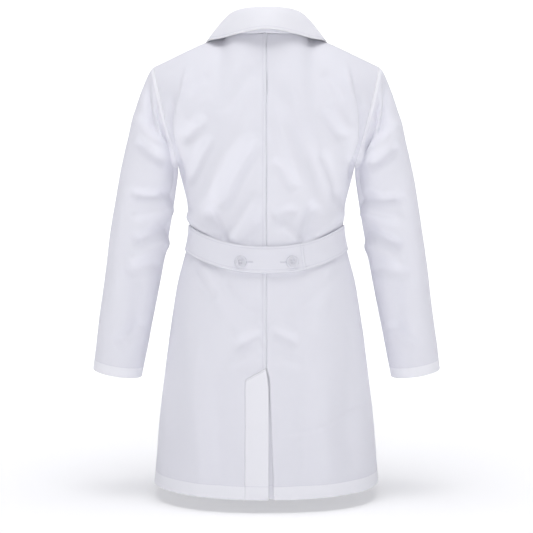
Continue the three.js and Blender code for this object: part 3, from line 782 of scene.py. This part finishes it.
def back_panel(sign, word):
    """One half of the back, from the neck and shoulder down to the hem, with its folds."""
    corner = np.linspace(VENT_LEVEL, VENT_LEVEL + VENT_SLANT, 15)
    levels = np.unique(np.concatenate([np.linspace(0, COAT_LENGTH, 220), corner]))
    s, depth = np.meshgrid(np.linspace(0, 1, 100), levels)
    below = depth > UNDERARM_LEVEL
    start = np.where(below, back_turn(back_inner_edge(depth, sign), np.maximum(depth, UNDERARM_LEVEL)), 0)
    points = back_surface(start + (1 - start) * s, depth)
    points = levelled(relaxed(points, 12), 60, 30)
    points[..., 0] = np.maximum(points[..., 0], SEAM_GAP / 2) * sign
    points[..., 1] -= SEAM_GAP / 2
    flat = hem_droop(points).copy()
    allowance = np.exp(-(((np.abs(points[..., 0]) - 3.6) / 2.4) ** 2)) * (2.3 if sign < 0 else 0.2)
    allowance *= depth < VENT_LEVEL
    lift = back_folds(points) * seamed(s, depth) + allowance
    points += normals(points, -sign) * lift[..., None]
    stitches = [("near", "down", HEM)]
    if sign < 0:
        stitches.append(("near", "across", 6.5, COAT_LENGTH - VENT_LEVEL + 2))
    puckers = [("near", "across", 2), ("near", "down", HEM)]
    doubled_painted_light = [("near", "down", HEM), ("far", "down", 3), ("far", "across", 2)]
    material = twill(f"white_twill_back_{word}", stitches, puckers, doubled_painted_light)
    cloth_piece(f"back_cloth_{word}", points, -sign, material, "coat_body", [f"back_panel_{word}"], flat)


def vent_pieces():
    """The flap that laps over from the wearer's left, and the underlap behind it."""
    s, t = grid(30, 90)
    free = -0.6 + (VENT_OVERLAP + 0.6) * np.clip(t * 6, 0, 1)
    x = -VENT_FACING + 0.15 + (free + VENT_FACING - 0.15) * s
    top = VENT_LEVEL + 0.15 + VENT_SLANT * np.clip(-x / VENT_FACING, 0, 1)
    depth = top + (COAT_LENGTH - top) * t
    points = back_at(x, depth)
    points[..., 1] -= SEAM_GAP / 2 + 0.5 * smooth(s * 3)
    points = hem_droop(points)
    stitches = [("near", "down", HEM), ("far", "down", 3)]
    # The whole flap is doubled cloth, drawn in the lighter tone: painted light.
    material = twill("white_twill_vent_flap", stitches, [("near", "down", HEM)], tone=DOUBLED_PAINTED_LIGHT_TONE)
    cloth_piece("vent_flap_cloth", points, 1, material, "vent", ["vent_flap"])
    s, t = grid(24, 70)
    x = -VENT_FACING + 2 + (VENT_FACING - 2 + VENT_OVERLAP + VENT_SPREAD + 6) * s
    depth = VENT_LEVEL - 8 + (COAT_LENGTH - 2 - VENT_LEVEL + 8) * t
    points = back_at(x, depth)
    points[..., 1] += 2.8
    points = hem_droop(points)
    material = twill("white_twill_vent_underlap", [("near", "down", HEM)])
    nodes = ["vent_underlap"]
    cloth_piece("vent_underlap_cloth", points, 1, material, "coat_body", nodes, thickness=LIGHT_CLOTH)


# ---------------------------------------------------------------- fronts


def front_grid(columns, rows, sign, first_depth=0.0, share=1.0):
    """A grid over one whole front, from the shoulder to the hem."""
    s, t = grid(columns, rows)
    depth = first_depth + (COAT_LENGTH - first_depth) * t
    points = front_surface(s * share, depth)
    points = relaxed(points, 12)
    points[..., 0] *= sign
    points[..., 1] += SEAM_GAP / 2
    return points


FRONT_FOLDS = [
    ([(172, -130), (171, -190), (160, -275)], 8, -7.0),
    ([(158, -90), (160, -150), (160, -215)], 11, 4.0),
    ([(140, -265), (100, -215), (84, -150)], 13, -3.4),
    ([(130, -300), (84, -250), (60, -200)], 13, 3.0),
    ([(120, -380), (80, -330), (60, -280)], 12, -3.0),
    ([(146, -330), (110, -400), (96, -470)], 11, 3.0),
    ([(120, -420), (100, -520), (104, -640)], 13, -2.6),
    ([(60, -420), (76, -560), (80, -700)], 18, 2.6),
    ([(110, -660), (120, -740), (128, -840)], 16, 3.4),
    ([(165, -470), (178, -640), (186, -820)], 14, 3.0),
    ([(40, -640), (44, -840)], 14, -2.6),
    ([(84, -690), (92, -840)], 13, -2.4),
]


def front_folds(points):
    """How far a front's cloth stands off the body's shape."""
    return ripple(points, 0.7) + folds(points, FRONT_FOLDS, True)


def bend_over_waist(piece):
    """The piece's place baked into its mesh, so that it rides on no body."""
    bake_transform(piece)


def fronts(sign, word):
    """One front with its facing and lapel."""
    flat = front_grid(90, 210, sign)
    s, t = grid(90, 210)
    lift = (front_folds(flat) * seamed(s, COAT_LENGTH * t))[..., None]
    points = flat + normals(flat, sign) * lift
    stitches = [("near", "down", HEM), ("near", "across", EDGE_STITCH)]
    material = twill(f"white_twill_front_{word}", stitches, [("near", "down", HEM)])
    nodes = [f"front_bodice_{word}", f"front_skirt_{word}"]
    piece = cloth_piece(f"front_cloth_{word}", points, sign, material, None, nodes, flat=flat)
    bend_over_waist(piece)
    flat = front_grid(30, 210, sign, FACING_TOP, 1 / 3)
    s, t = grid(30, 210)
    depth = FACING_TOP + (COAT_LENGTH - FACING_TOP) * t
    lift = front_folds(flat) * seamed(0 * s, depth) - LINING_DROP
    points = flat + normals(flat, sign) * lift[..., None]
    material = twill(f"white_twill_facing_{word}", [("near", "down", HEM)])
    nodes = [f"bodice_facing_{word}", f"skirt_facing_{word}"]
    name = f"facing_cloth_{word}"
    piece = cloth_piece(name, points, sign, material, None, nodes, flat, thickness=LIGHT_CLOTH)
    bend_over_waist(piece)
    lapel(sign, word)


def lapel(sign, word):
    """The front's top corner turned back: a strip along the roll line, lifted in a soft roll."""
    s, t = grid(40, 90)
    depth = LAPEL_TOP_LEVEL + 8 * s + (BREAK_LEVEL - 12 - LAPEL_TOP_LEVEL - 8 * s) * t
    wide = LAPEL_WIDTH * np.sqrt(1 - t * 0.97) * (1 - 0.12 * (1 - t))
    points = front_surface(0.01 + s * wide / (SHOULDER_HALF - NECK_HALF), depth)
    points[..., 0] *= sign
    points[..., 1] += SEAM_GAP / 2
    lift = 2.4 + 5 * np.sin(math.pi * s * 0.85)
    points += normals(points, sign) * (lift + front_folds(points))[..., None]
    edges = [("far", "across", EDGE_STITCH), ("far", "down", EDGE_STITCH)]
    material = twill(f"white_twill_lapel_{word}", edges)
    cloth_piece(f"lapel_cloth_{word}", points, sign, material, "coat_body", [f"lapel_{word}"])


# ---------------------------------------------------------------- sleeves


def sleeve_edges(t):
    """The outer and inner lines of a sleeve in the view from behind."""
    tip = xyz(SHOULDER_HALF, 0, -SHOULDER_DROP)
    pit = xyz(UNDERARM_HALF, 0, -UNDERARM_LEVEL)
    outer_cuff = tip + SLEEVE_LENGTH * xyz(math.sin(SLEEVE_TILT), 0, -math.cos(SLEEVE_TILT))
    inner_cuff = outer_cuff - CUFF_WIDTH * xyz(math.cos(CUFF_SLANT), 0, math.sin(CUFF_SLANT))
    outer = tip + (outer_cuff - tip) * t[..., None]
    outer[..., 0] += SLEEVE_FULLNESS * np.sin(math.pi * t**0.6)
    share = t**1.6
    inner = pit + (inner_cuff - pit) * share[..., None]
    inner[..., 0] -= SLEEVE_DIP * np.sin(math.pi * share**0.6)
    clear = side_half(-inner[..., 2]) + SLEEVE_CLEARANCE * smooth(t * 8)
    inner[..., 0] = np.maximum(inner[..., 0], clear)
    return outer, inner


SLEEVE_FOLDS = [
    ([(222, -66), (225, -112), (218, -156), (202, -190)], 9, -9.0),
    ([(215, -84), (215, -124), (206, -160), (190, -190)], 7, 5.0),
    ([(210, -104), (207, -140), (198, -176), (184, -205), (174, -230)], 7, -11.0, 0.4),
    ([(204, -100), (199, -136), (190, -172), (181, -198)], 6, 2.6),
    ([(178, -208), (173, -245), (168, -283), (172, -330)], 16, -6.0),
    ([(252, -150), (222, -192), (188, -219)], 12, 6.5),
    ([(252, -196), (224, -222), (188, -243)], 12, -6.0),
    ([(262, -300), (236, -304), (205, -304), (176, -290)], 12, -8.0),
    ([(258, -340), (222, -336), (178, -322)], 11, 5.0),
    ([(258, -392), (232, -384), (205, -370), (180, -350)], 12, -8.0),
    ([(262, -425), (234, -412), (187, -384)], 12, 5.0),
    ([(270, -450), (238, -442), (198, -432)], 13, -4.0),
    ([(288, -590), (266, -572), (225, -540)], 15, -5.0),
    ([(262, -220), (272, -320), (282, -420), (290, -520)], 16, 4.0),
    ([(236, -440), (246, -500), (250, -580)], 16, -4.0),
]


def sleeve_folds(points, t):
    """Drag folds from the armhole and creases inside the elbow, held flat at seam, cuff and outline."""
    held = smooth(t * 14) * smooth((1 - t) * 14) * smooth(np.abs(points[..., 1]) / 12)
    lower = points + np.where(points[..., :1] < 0, 0, 1) * np.array([-3.0, 0, 7.0])
    return FOLD_RELIEF * folds(lower, SLEEVE_FOLDS, True) * held + ripple(points, 0.8) * held


def sleeve(sign, word):
    """Rings that change from the armhole's ellipse, joined to the body, to the cuff's."""
    columns = 132
    s, t = np.meshgrid(np.arange(columns) / columns, np.linspace(0, 1, 230))
    turn = (s * 2 + 1) * math.pi
    outer, inner = sleeve_edges(t)
    reach = np.where(np.sin(turn) < 0, ARMHOLE_BACK, ARMHOLE_FRONT)
    lower = BICEP_HALF_DEPTH + (CUFF_HALF_DEPTH - BICEP_HALF_DEPTH) * t
    deep = reach + (lower - reach) * smooth(t * 4)
    points = (outer + inner) / 2 + (outer - inner) / 2 * np.cos(turn)[..., None]
    points[..., 1] += deep * np.sin(turn)
    slope = np.array([ARMHOLE_LENGTH, 0, UNDERARM_HALF - SHOULDER_HALF], float)
    points += SEAM_GAP * slope / np.linalg.norm(slope)
    points[..., 2] -= 5 * t**4 * np.maximum(0, -np.sin(turn))
    points[..., 0] *= sign
    flat = points.copy()
    points += normals(points, -sign, True) * sleeve_folds(points, t)[..., None]
    stitches = [("near", "down", CUFF_HEM)]
    doubled_painted_light = [("near", "down", CUFF_HEM), ("far", "down", 7)]
    puckers = [("near", "down", CUFF_HEM), ("far", "down", 2)]
    material = twill(f"white_twill_sleeve_{word}", stitches, puckers, doubled_painted_light)
    nodes = [f"sleeve_{word}"]
    piece = cloth_piece(f"sleeve_cloth_{word}", points, -sign, material, None, nodes, flat, wrap=True)
    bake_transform(piece)


# ---------------------------------------------------------------- collar


def through(points):
    """A centripetal Catmull-Rom curve through these points and their mirror images, 0 at the middle."""
    right = np.array(points, float)
    left = right[:0:-1] * (-1, 1, 1)
    whole = np.concatenate([left, right])
    ends = [2 * whole[0] - whole[1], 2 * whole[-1] - whole[-2]]
    control = np.concatenate([[ends[0]], whole, [ends[1]]])
    middle = len(right) - 1
    steps = np.sqrt(np.linalg.norm(np.diff(control, axis=0), axis=-1))[:, None]

    def at(share):
        place = middle + np.abs(share) * middle
        i = np.clip(place.astype(int), 0, len(whole) - 2)
        f = (place - i)[..., None]
        a, b, c, d = (control[i + k] for k in range(4))
        before, here, after = (steps[i + k] for k in range(3))
        leave = ((b - a) / before - (c - a) / (before + here) + (c - b) / here) * here
        arrive = ((c - b) / here - (d - b) / (here + after) + (d - c) / after) * here
        curve = b + leave * (f - 2 * f**2 + f**3) + arrive * (f**3 - f**2)
        return curve + (c - b) * (3 * f**2 - 2 * f**3)

    return at


COLLAR_REST = 4.2


def on_roll_line(depth):
    """Where the collar is sewn past the shoulder, resting on the outside of the front."""
    v = np.array([(UNDERARM_LEVEL - depth) / (UNDERARM_LEVEL + NECK_RISE)])
    return roll_line(v)[0] + (0, COLLAR_REST, COLLAR_REST / 2)


SEAM_LINE = through(
    [
        (0, -NECK_BACK, 0.6),
        (NECK_HALF * 0.7, -NECK_BACK * 0.71, 2.8),
        (NECK_HALF - 1.5, 0.3, NECK_RISE + 2.1),
        on_roll_line(36),
        on_roll_line(COLLAR_END_LEVEL),
    ]
)
FOLD_LINE = through(
    [
        (0, -NECK_BACK - 7, STAND_HEIGHT),
        (NECK_HALF * 0.68, -NECK_BACK * 0.78, STAND_HEIGHT),
        (NECK_HALF - 2, -2, STAND_HEIGHT - 5),
        (NECK_HALF + 10, 50, 2),
        (NECK_HALF + 14, 98, -68),
    ]
)
FREE_LINE = through(
    [
        (0, -NECK_BACK - 25, STAND_HEIGHT - COLLAR_FALL),
        (NECK_HALF + 10, -NECK_BACK + 33, STAND_HEIGHT - COLLAR_FALL - 5),
        (NECK_HALF + COLLAR_REACH, -6, -1.5),
        (NECK_HALF + COLLAR_REACH + 2, 58, -30),
        (NECK_HALF + COLLAR_REACH - 4, 96, -76),
    ]
)


def collar_surface(s, t):
    """A cubic curve from the neck seam, over the fold, to the free edge, carried round the neck."""
    share = np.abs(s)
    seam = SEAM_LINE(share)
    free = FREE_LINE(share)
    fold = FOLD_LINE(share)
    crown = fold + (fold - (seam + free) / 2) / 3
    width = (seam - free) * 0.3
    t = t[..., None]
    points = (1 - t) ** 3 * seam + 3 * (1 - t) ** 2 * t * (crown + width)
    points = points + 3 * (1 - t) * t**2 * (crown - width) + t**3 * free
    points[..., 0] *= np.where(s < 0, -1, 1)
    return points


def collar():
    """Upper collar, interlining and under collar, one within another."""
    s, t = grid(170, 60)
    base = collar_surface(s * 2 - 1, t)
    normal = normals(base, -1)
    edge = [("near", "down", EDGE_STITCH), ("near", "across", EDGE_STITCH), ("far", "across", EDGE_STITCH)]
    # The upper collar is drawn in the lighter doubled tone: painted light.
    upper = twill("white_twill_upper_collar", edge, tone=DOUBLED_PAINTED_LIGHT_TONE)
    under = twill("white_twill_under_collar", edge)
    layers = [
        ("upper_collar", COLLAR_STEP, upper, "white_twill"),
        ("collar_interlining", 0, fusible_interlining(), "interlining"),
        ("under_collar", -COLLAR_STEP, under, "white_twill"),
    ]
    for node, offset, material, slot in layers:
        finish = {"held": "folded", "thickness": LIGHT_CLOTH, "slot": slot}
        points = base + normal * offset
        cloth_piece(f"{node}_cloth", points, -1, material, "coat_body", [node], **finish)


def neck_facing():
    """The strip inside the back neck."""
    s, t = grid(60, 24)
    points = back_surface((s * 2 - 1) / 3, UNDERARM_LEVEL * 0.3 * t)
    points += normals(points, 1) * (LINING_DROP - back_folds(points))[..., None]
    material = twill("white_twill_neck_facing", [("near", "down", EDGE_STITCH)])
    nodes = ["back_neck_facing"]
    cloth_piece("neck_facing_cloth", points, 1, material, "coat_body", nodes, thickness=LIGHT_CLOTH)


# ---------------------------------------------------------------- belt, buttons, pockets and loop

BELT_LIFT = 3.6
OVER_LIFT = 6.2
BELT_THICKNESS = 2.0


def belt_surface(sign, first, last, lift, s, t):
    """The belt between two turns of the back, lift off it, where t runs down its width."""
    turn = first + (last - first) * s
    depth = belt_middle(share_of(turn)) + BELT_WIDTH * (t - 0.5)
    points = back_surface(turn, depth)
    points[..., 0] *= sign
    return points + normals(points, sign) * lift[..., None]


def belt_strap(sign, word, reach, lift):
    """One strap of the half belt, from its side seam past the middle, edge-stitched all round."""
    s, t = grid(150, 26)
    end = -back_turn(reach, BELT_LEVEL + BELT_DROOP)
    hang = 1.9 + (lift - 1.9) * smooth(s * 2.5)
    points = belt_surface(sign, 0.985, end, hang, s, t)
    edges = [("near", "down"), ("far", "down"), ("far", "across")]
    material = twill(f"white_twill_belt_{word}", [(title, way, EDGE_STITCH) for title, way in edges])
    name = f"belt_cloth_{word}"
    finish = {"held": "stretched", "thickness": BELT_THICKNESS}
    cloth_piece(name, points, sign, material, "coat_body", [f"belt_strap_{word}"], **finish)


def buttonhole(sign, word, material):
    """A worked buttonhole: two ridges of satin stitches either side of a slit, closed at its ends."""
    s, t = grid(40, 15)
    lift = OVER_LIFT if sign < 0 else OVER_LIFT - 0.2
    across = np.abs(t * 2 - 1)
    ends = np.sqrt(np.maximum(0, 1 - (s * 2 - 1) ** 16))
    ridge = np.exp(-(((across - 0.5) / 0.3) ** 2)) * 0.4 * ends
    x = sign * (BUTTONHOLE_START + BUTTONHOLE_LENGTH * s)
    depth = BELT_BUTTON_LEVEL + (t - 0.5) * 2.8 * np.maximum(ends, 0.2)
    points = back_at(x, depth)
    points += normals(points, -sign) * (lift + BELT_THICKNESS / 2 + ridge)[..., None]
    mesh = closed_sheet(f"buttonhole_{word}", points, normals(points, -sign), 0.5, -sign)
    add_object(f"buttonhole_{word}", mesh, material, "coat_body")


def spin_mesh(name, rings, place, normal):
    """A closed mesh of rings about its own axis, capped at both ends, turned to face a normal."""
    aim = Vector(normal).to_track_quat("Z", "Y").to_matrix()
    number, faces = numbered(*rings.shape[:2], True)
    caps = [number[0, :-1][::-1].tolist(), number[-1, :-1].tolist()]
    return smooth_mesh(name, rings.reshape(-1, 3) @ np.array(aim).T + place, faces.tolist() + caps)


def button(name, place, normal, body, node, materials):
    """A moulded disc with a rounded rim, a dished face and four sunk thread holes, sewn on."""
    radius = BUTTON_RADIUS
    outline = np.array(
        [
            (0.2, 0), (radius - 1.6, 0), (radius - 0.6, 0.4), (radius, 1.5), (radius, 2.3),
            (radius - 0.3, 3.3), (radius - 0.9, 3.9), (radius - 1.6, 4.0), (radius - 2.2, 3.7),
            (radius - 2.8, 3.2), (radius - 3.6, 3.1),
        ]
    )  # fmt: skip
    inner = np.stack([np.linspace(radius - 3.7, 0.05, 44), np.full(44, 3.1)], axis=1)
    outline = np.concatenate([outline, inner])
    turn = np.linspace(0, 2 * math.pi, 96, endpoint=False)
    r = outline[:, :1]
    x = r * np.cos(turn)
    y = r * np.sin(turn)
    z = np.repeat(outline[:, 1:], len(turn), axis=1)
    top = (np.arange(len(outline)) > 10)[:, None]
    gap = np.hypot(np.abs(x) - HOLE_OFFSET, np.abs(y) - HOLE_OFFSET)
    z -= top * 2.4 * smooth((HOLE_RADIUS - gap) / 0.5)
    mesh = spin_mesh(name, np.stack([x, y, z], axis=-1), place, normal)
    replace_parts(add_object(name, mesh, materials["button"], body), node)
    threads(name, place, normal, body, materials["thread"])


def threads(name, place, normal, body, material):
    """Two stitches over the button's face, each an arched strand from one hole to the next."""
    along = np.linspace(0, math.pi, 20)[:, None]
    turn = np.linspace(0, 2 * math.pi, 12, endpoint=False)[None, :]
    z = 2.0 + 1.9 * np.sin(along) ** 0.4 + THREAD_RADIUS * np.sin(turn)
    x = -2.75 * np.cos(along) + 0 * turn
    x = x + THREAD_RADIUS * np.sin(turn) * -np.cos(along)
    for word, side in (("upper", 1), ("lower", -1)):
        y = side * HOLE_OFFSET + 1.4 * THREAD_RADIUS * np.cos(turn) + 0 * along
        mesh = spin_mesh(f"{name}_thread_{word}", np.stack([x, y, z], axis=-1), place, normal)
        add_object(f"{name}_thread_{word}", mesh, material, body)


def normal_at(surface, x, depth, outward_y):
    """The place and outward normal of a surface given as a function of x and depth."""
    xs = np.array([[x - 0.5, x + 0.5], [x - 0.5, x + 0.5]])
    depths = np.array([[depth - 0.5] * 2, [depth + 0.5] * 2])
    points = surface(xs, depths)
    normal = normals(points, 1)[0, 0]
    if normal[1] * outward_y < 0:
        normal = -normal
    return points.mean(axis=(0, 1)), normal


def left_front_at(x, depth):
    """The wearer's left front at a distance from the middle and a depth."""
    return front_surface(front_turn(x, depth), depth) * (-1, 1, 1)


def buttons(materials):
    """Two on the half belt and four down the wearer's left front, where the second rides on no body."""
    for word, sign in SIDES:
        place, normal = normal_at(back_at, sign * BELT_BUTTON_REACH, BELT_BUTTON_LEVEL, -1)
        place = place + normal * (OVER_LIFT + BELT_THICKNESS / 2 + 0.4)
        button(f"belt_button_{word}_disc", place, normal, "coat_body", f"belt_button_{word}", materials)
    bodies = ("coat_body", None, "left_front", "left_front")
    for number, (level, body) in enumerate(zip(FRONT_BUTTON_LEVELS, bodies), 1):
        place, normal = normal_at(left_front_at, FRONT_EDGE_HALF + FRONT_BUTTON_INSET, level, 1)
        name = f"front_button_disc_{number}"
        button(name, place + normal * 1.6, normal, body, f"front_button_{number}", materials)
        if body is None:
            for ending in ("", "_thread_upper", "_thread_lower"):
                bend_over_waist(bpy.data.objects[name + ending])


POCKET_EDGES = [
    ("near", "across", EDGE_STITCH),
    ("far", "across", EDGE_STITCH),
    ("near", "down", EDGE_STITCH),
    ("far", "down", HEM),
]


def patch_pocket(names, points, sign, gape, s, t, body):
    """A pocket sewn on a front at its sides and foot, standing open by gape at the middle of its mouth."""
    material_name, name, node = names
    points[..., 0] *= sign
    mouth = gape * np.sin(math.pi * s) ** 0.6 * smooth(1 - t) ** 0.7
    points += normals(points, sign) * (POCKET_LIFT + mouth + front_folds(points))[..., None]
    material = twill(material_name, POCKET_EDGES)
    cloth_piece(name, points, sign, material, body, [node], thickness=LIGHT_CLOTH)


def lower_pocket(sign, word):
    """A patch pocket on the skirt of a front."""
    s, t = grid(60, 80)
    depth = LOWER_POCKET_TOP + LOWER_POCKET_DEPTH * t
    points = front_surface(front_turn(LOWER_POCKET_START + LOWER_POCKET_WIDTH * s, depth), depth)
    names = (f"white_twill_pocket_{word}", f"lower_pocket_cloth_{word}", f"lower_pocket_{word}")
    patch_pocket(names, points, sign, 13, s, t, f"{word}_front")


def chest_pocket():
    """A small patch pocket on the wearer's left breast."""
    s, t = grid(44, 56)
    points = front_surface(0.36 + 0.38 * s, CHEST_POCKET_TOP + CHEST_POCKET_DEPTH * t)
    names = ("white_twill_chest_pocket", "chest_pocket_cloth", "chest_pocket")
    patch_pocket(names, points, -1, 11, s, t, "coat_body")


def loop():
    """The hanger loop: a narrow folded band in a U, sewn at both ends inside the back neck."""
    s, t = grid(50, 6)
    side = s * 2 - 1
    points = xyz(LOOP_HALF * side, -65.95 + 0 * s, -5 - LOOP_DROP * (1 - side**2) - LOOP_WIDTH * t)
    normal = normals(points, -1)
    mesh = closed_sheet("hanger_loop_band", points, normal, LOOP_THICKNESS, -1)
    add_distances(mesh, points, False)
    material = twill("white_twill_loop", [("near", "down", 1.2), ("far", "down", 1.2)])
    piece = add_object("hanger_loop_band", mesh, material, "loop")
    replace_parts(piece, "hanger_loop")


# ---------------------------------------------------------------- building

materials = {"button": moulded_button(), "thread": spun_thread()}
for word, sign in SIDES:
    back_panel(sign, word)
    fronts(sign, word)
    sleeve(sign, word)
    lower_pocket(sign, word)
    buttonhole(sign, word, materials["thread"])
vent_pieces()
collar()
neck_facing()
belt_strap(-1, "left", OVER_STRAP_END, OVER_LIFT)
belt_strap(1, "right", UNDER_STRAP_END, BELT_LIFT)
buttons(materials)
chest_pocket()
loop()

# ---------------------------------------------------------------- studio


FLOOR_LEVEL = -0.878
# The paper's own glow near the coat: a painted shadow, which rises to full glow further off.
PAINTED_SHADOW_GLOW = 0.29


def glowing_paper_painted_shadow():
    """Seamless white paper that glows, though it is no lamp, less near the coat and more with distance, so it
    is white far off: the grey round the coat's foot is partly painted shadow, on top of the real shadow that
    the lamps cast.
    """
    white = (1, 1, 1, 1)
    material, tree, surface = shader("glowing_paper_painted_shadow", (0.9, 0.9, 0.9, 1), Roughness=1, Emission_Color=white)
    place = add(tree, "TexCoord", output="Object")
    away = add(tree, "VectorMath", place, output="Value", operation="LENGTH")
    # Painted shadow: the glow is lowest near the coat and rises to full 3 m away.
    spread = add(tree, "MapRange", away, 0.9, 3, PAINTED_SHADOW_GLOW, 1)
    tree.links.new(spread, surface.inputs["Emission Strength"])
    return material


def paper_sheet(name, line, material):
    """White paper along a line of (y, z), 18 m wide."""
    corners = [(x, y, z) for y, z in line for x in (-9, 9)]
    quads = [(2 * i, 2 * i + 1, 2 * i + 3, 2 * i + 2) for i in range(len(line) - 1)]
    mesh = bpy.data.meshes.new(name)
    mesh.from_pydata(corners, [], quads)
    mesh.materials.append(material)
    sheet = bpy.data.objects.new(name, mesh)
    bpy.context.scene.collection.objects.link(sheet)
    return sheet


def area_light(name, place, aim, size, power):
    """A square area light at a place, facing a point."""
    light = bpy.data.lights.new(name, "AREA")
    light.size = size
    light.energy = power
    lamp = bpy.data.objects.new(name, light)
    lamp.location = place
    lamp.rotation_euler = (Vector(aim) - Vector(place)).to_track_quat("-Z", "Y").to_euler()
    bpy.context.scene.collection.objects.link(lamp)


paper = glowing_paper_painted_shadow()
turns = np.linspace(0, math.pi / 2, 24)
curve_up = [(4 + 1.5 * math.sin(a), FLOOR_LEVEL + 1.5 * (1 - math.cos(a))) for a in turns]
paper_sheet("paper_floor", [(-5, FLOOR_LEVEL), (2, FLOOR_LEVEL)], paper)
backdrop = paper_sheet("paper_backdrop", [(2, FLOOR_LEVEL), *curve_up, (5.5, 6)], paper)
backdrop.visible_diffuse = False  # it stays white without flooding the wearer's front

world = bpy.data.worlds.new("studio")
world.use_nodes = True
world.node_tree.nodes["Background"].inputs[0].default_value = linear("E9E9F6")
world.node_tree.nodes["Background"].inputs[1].default_value = 0.31
bpy.context.scene.world = world
area_light("key", (-3.4, -4.9, 0.9), (0, 0, -0.5), 1.8, 15)
area_light("low_fill", (0.8, -3.4, -0.55), (0, 0, -0.75), 1.8, 16)
area_light("top", (0, -0.6, 4.0), (0, 0, -0.4), 3.0, 116)

camera_data = bpy.data.cameras.new("camera")
camera_data.lens = 71
camera_data.sensor_width = 36
camera = bpy.data.objects.new("camera", camera_data)
camera.location = (0, -2.05, -0.438)
camera.rotation_euler = (math.pi / 2, 0, 0)
bpy.context.scene.collection.objects.link(camera)
bpy.context.scene.camera = camera
bpy.context.scene.view_settings.view_transform = "Standard"

bpy.context.view_layer.update()
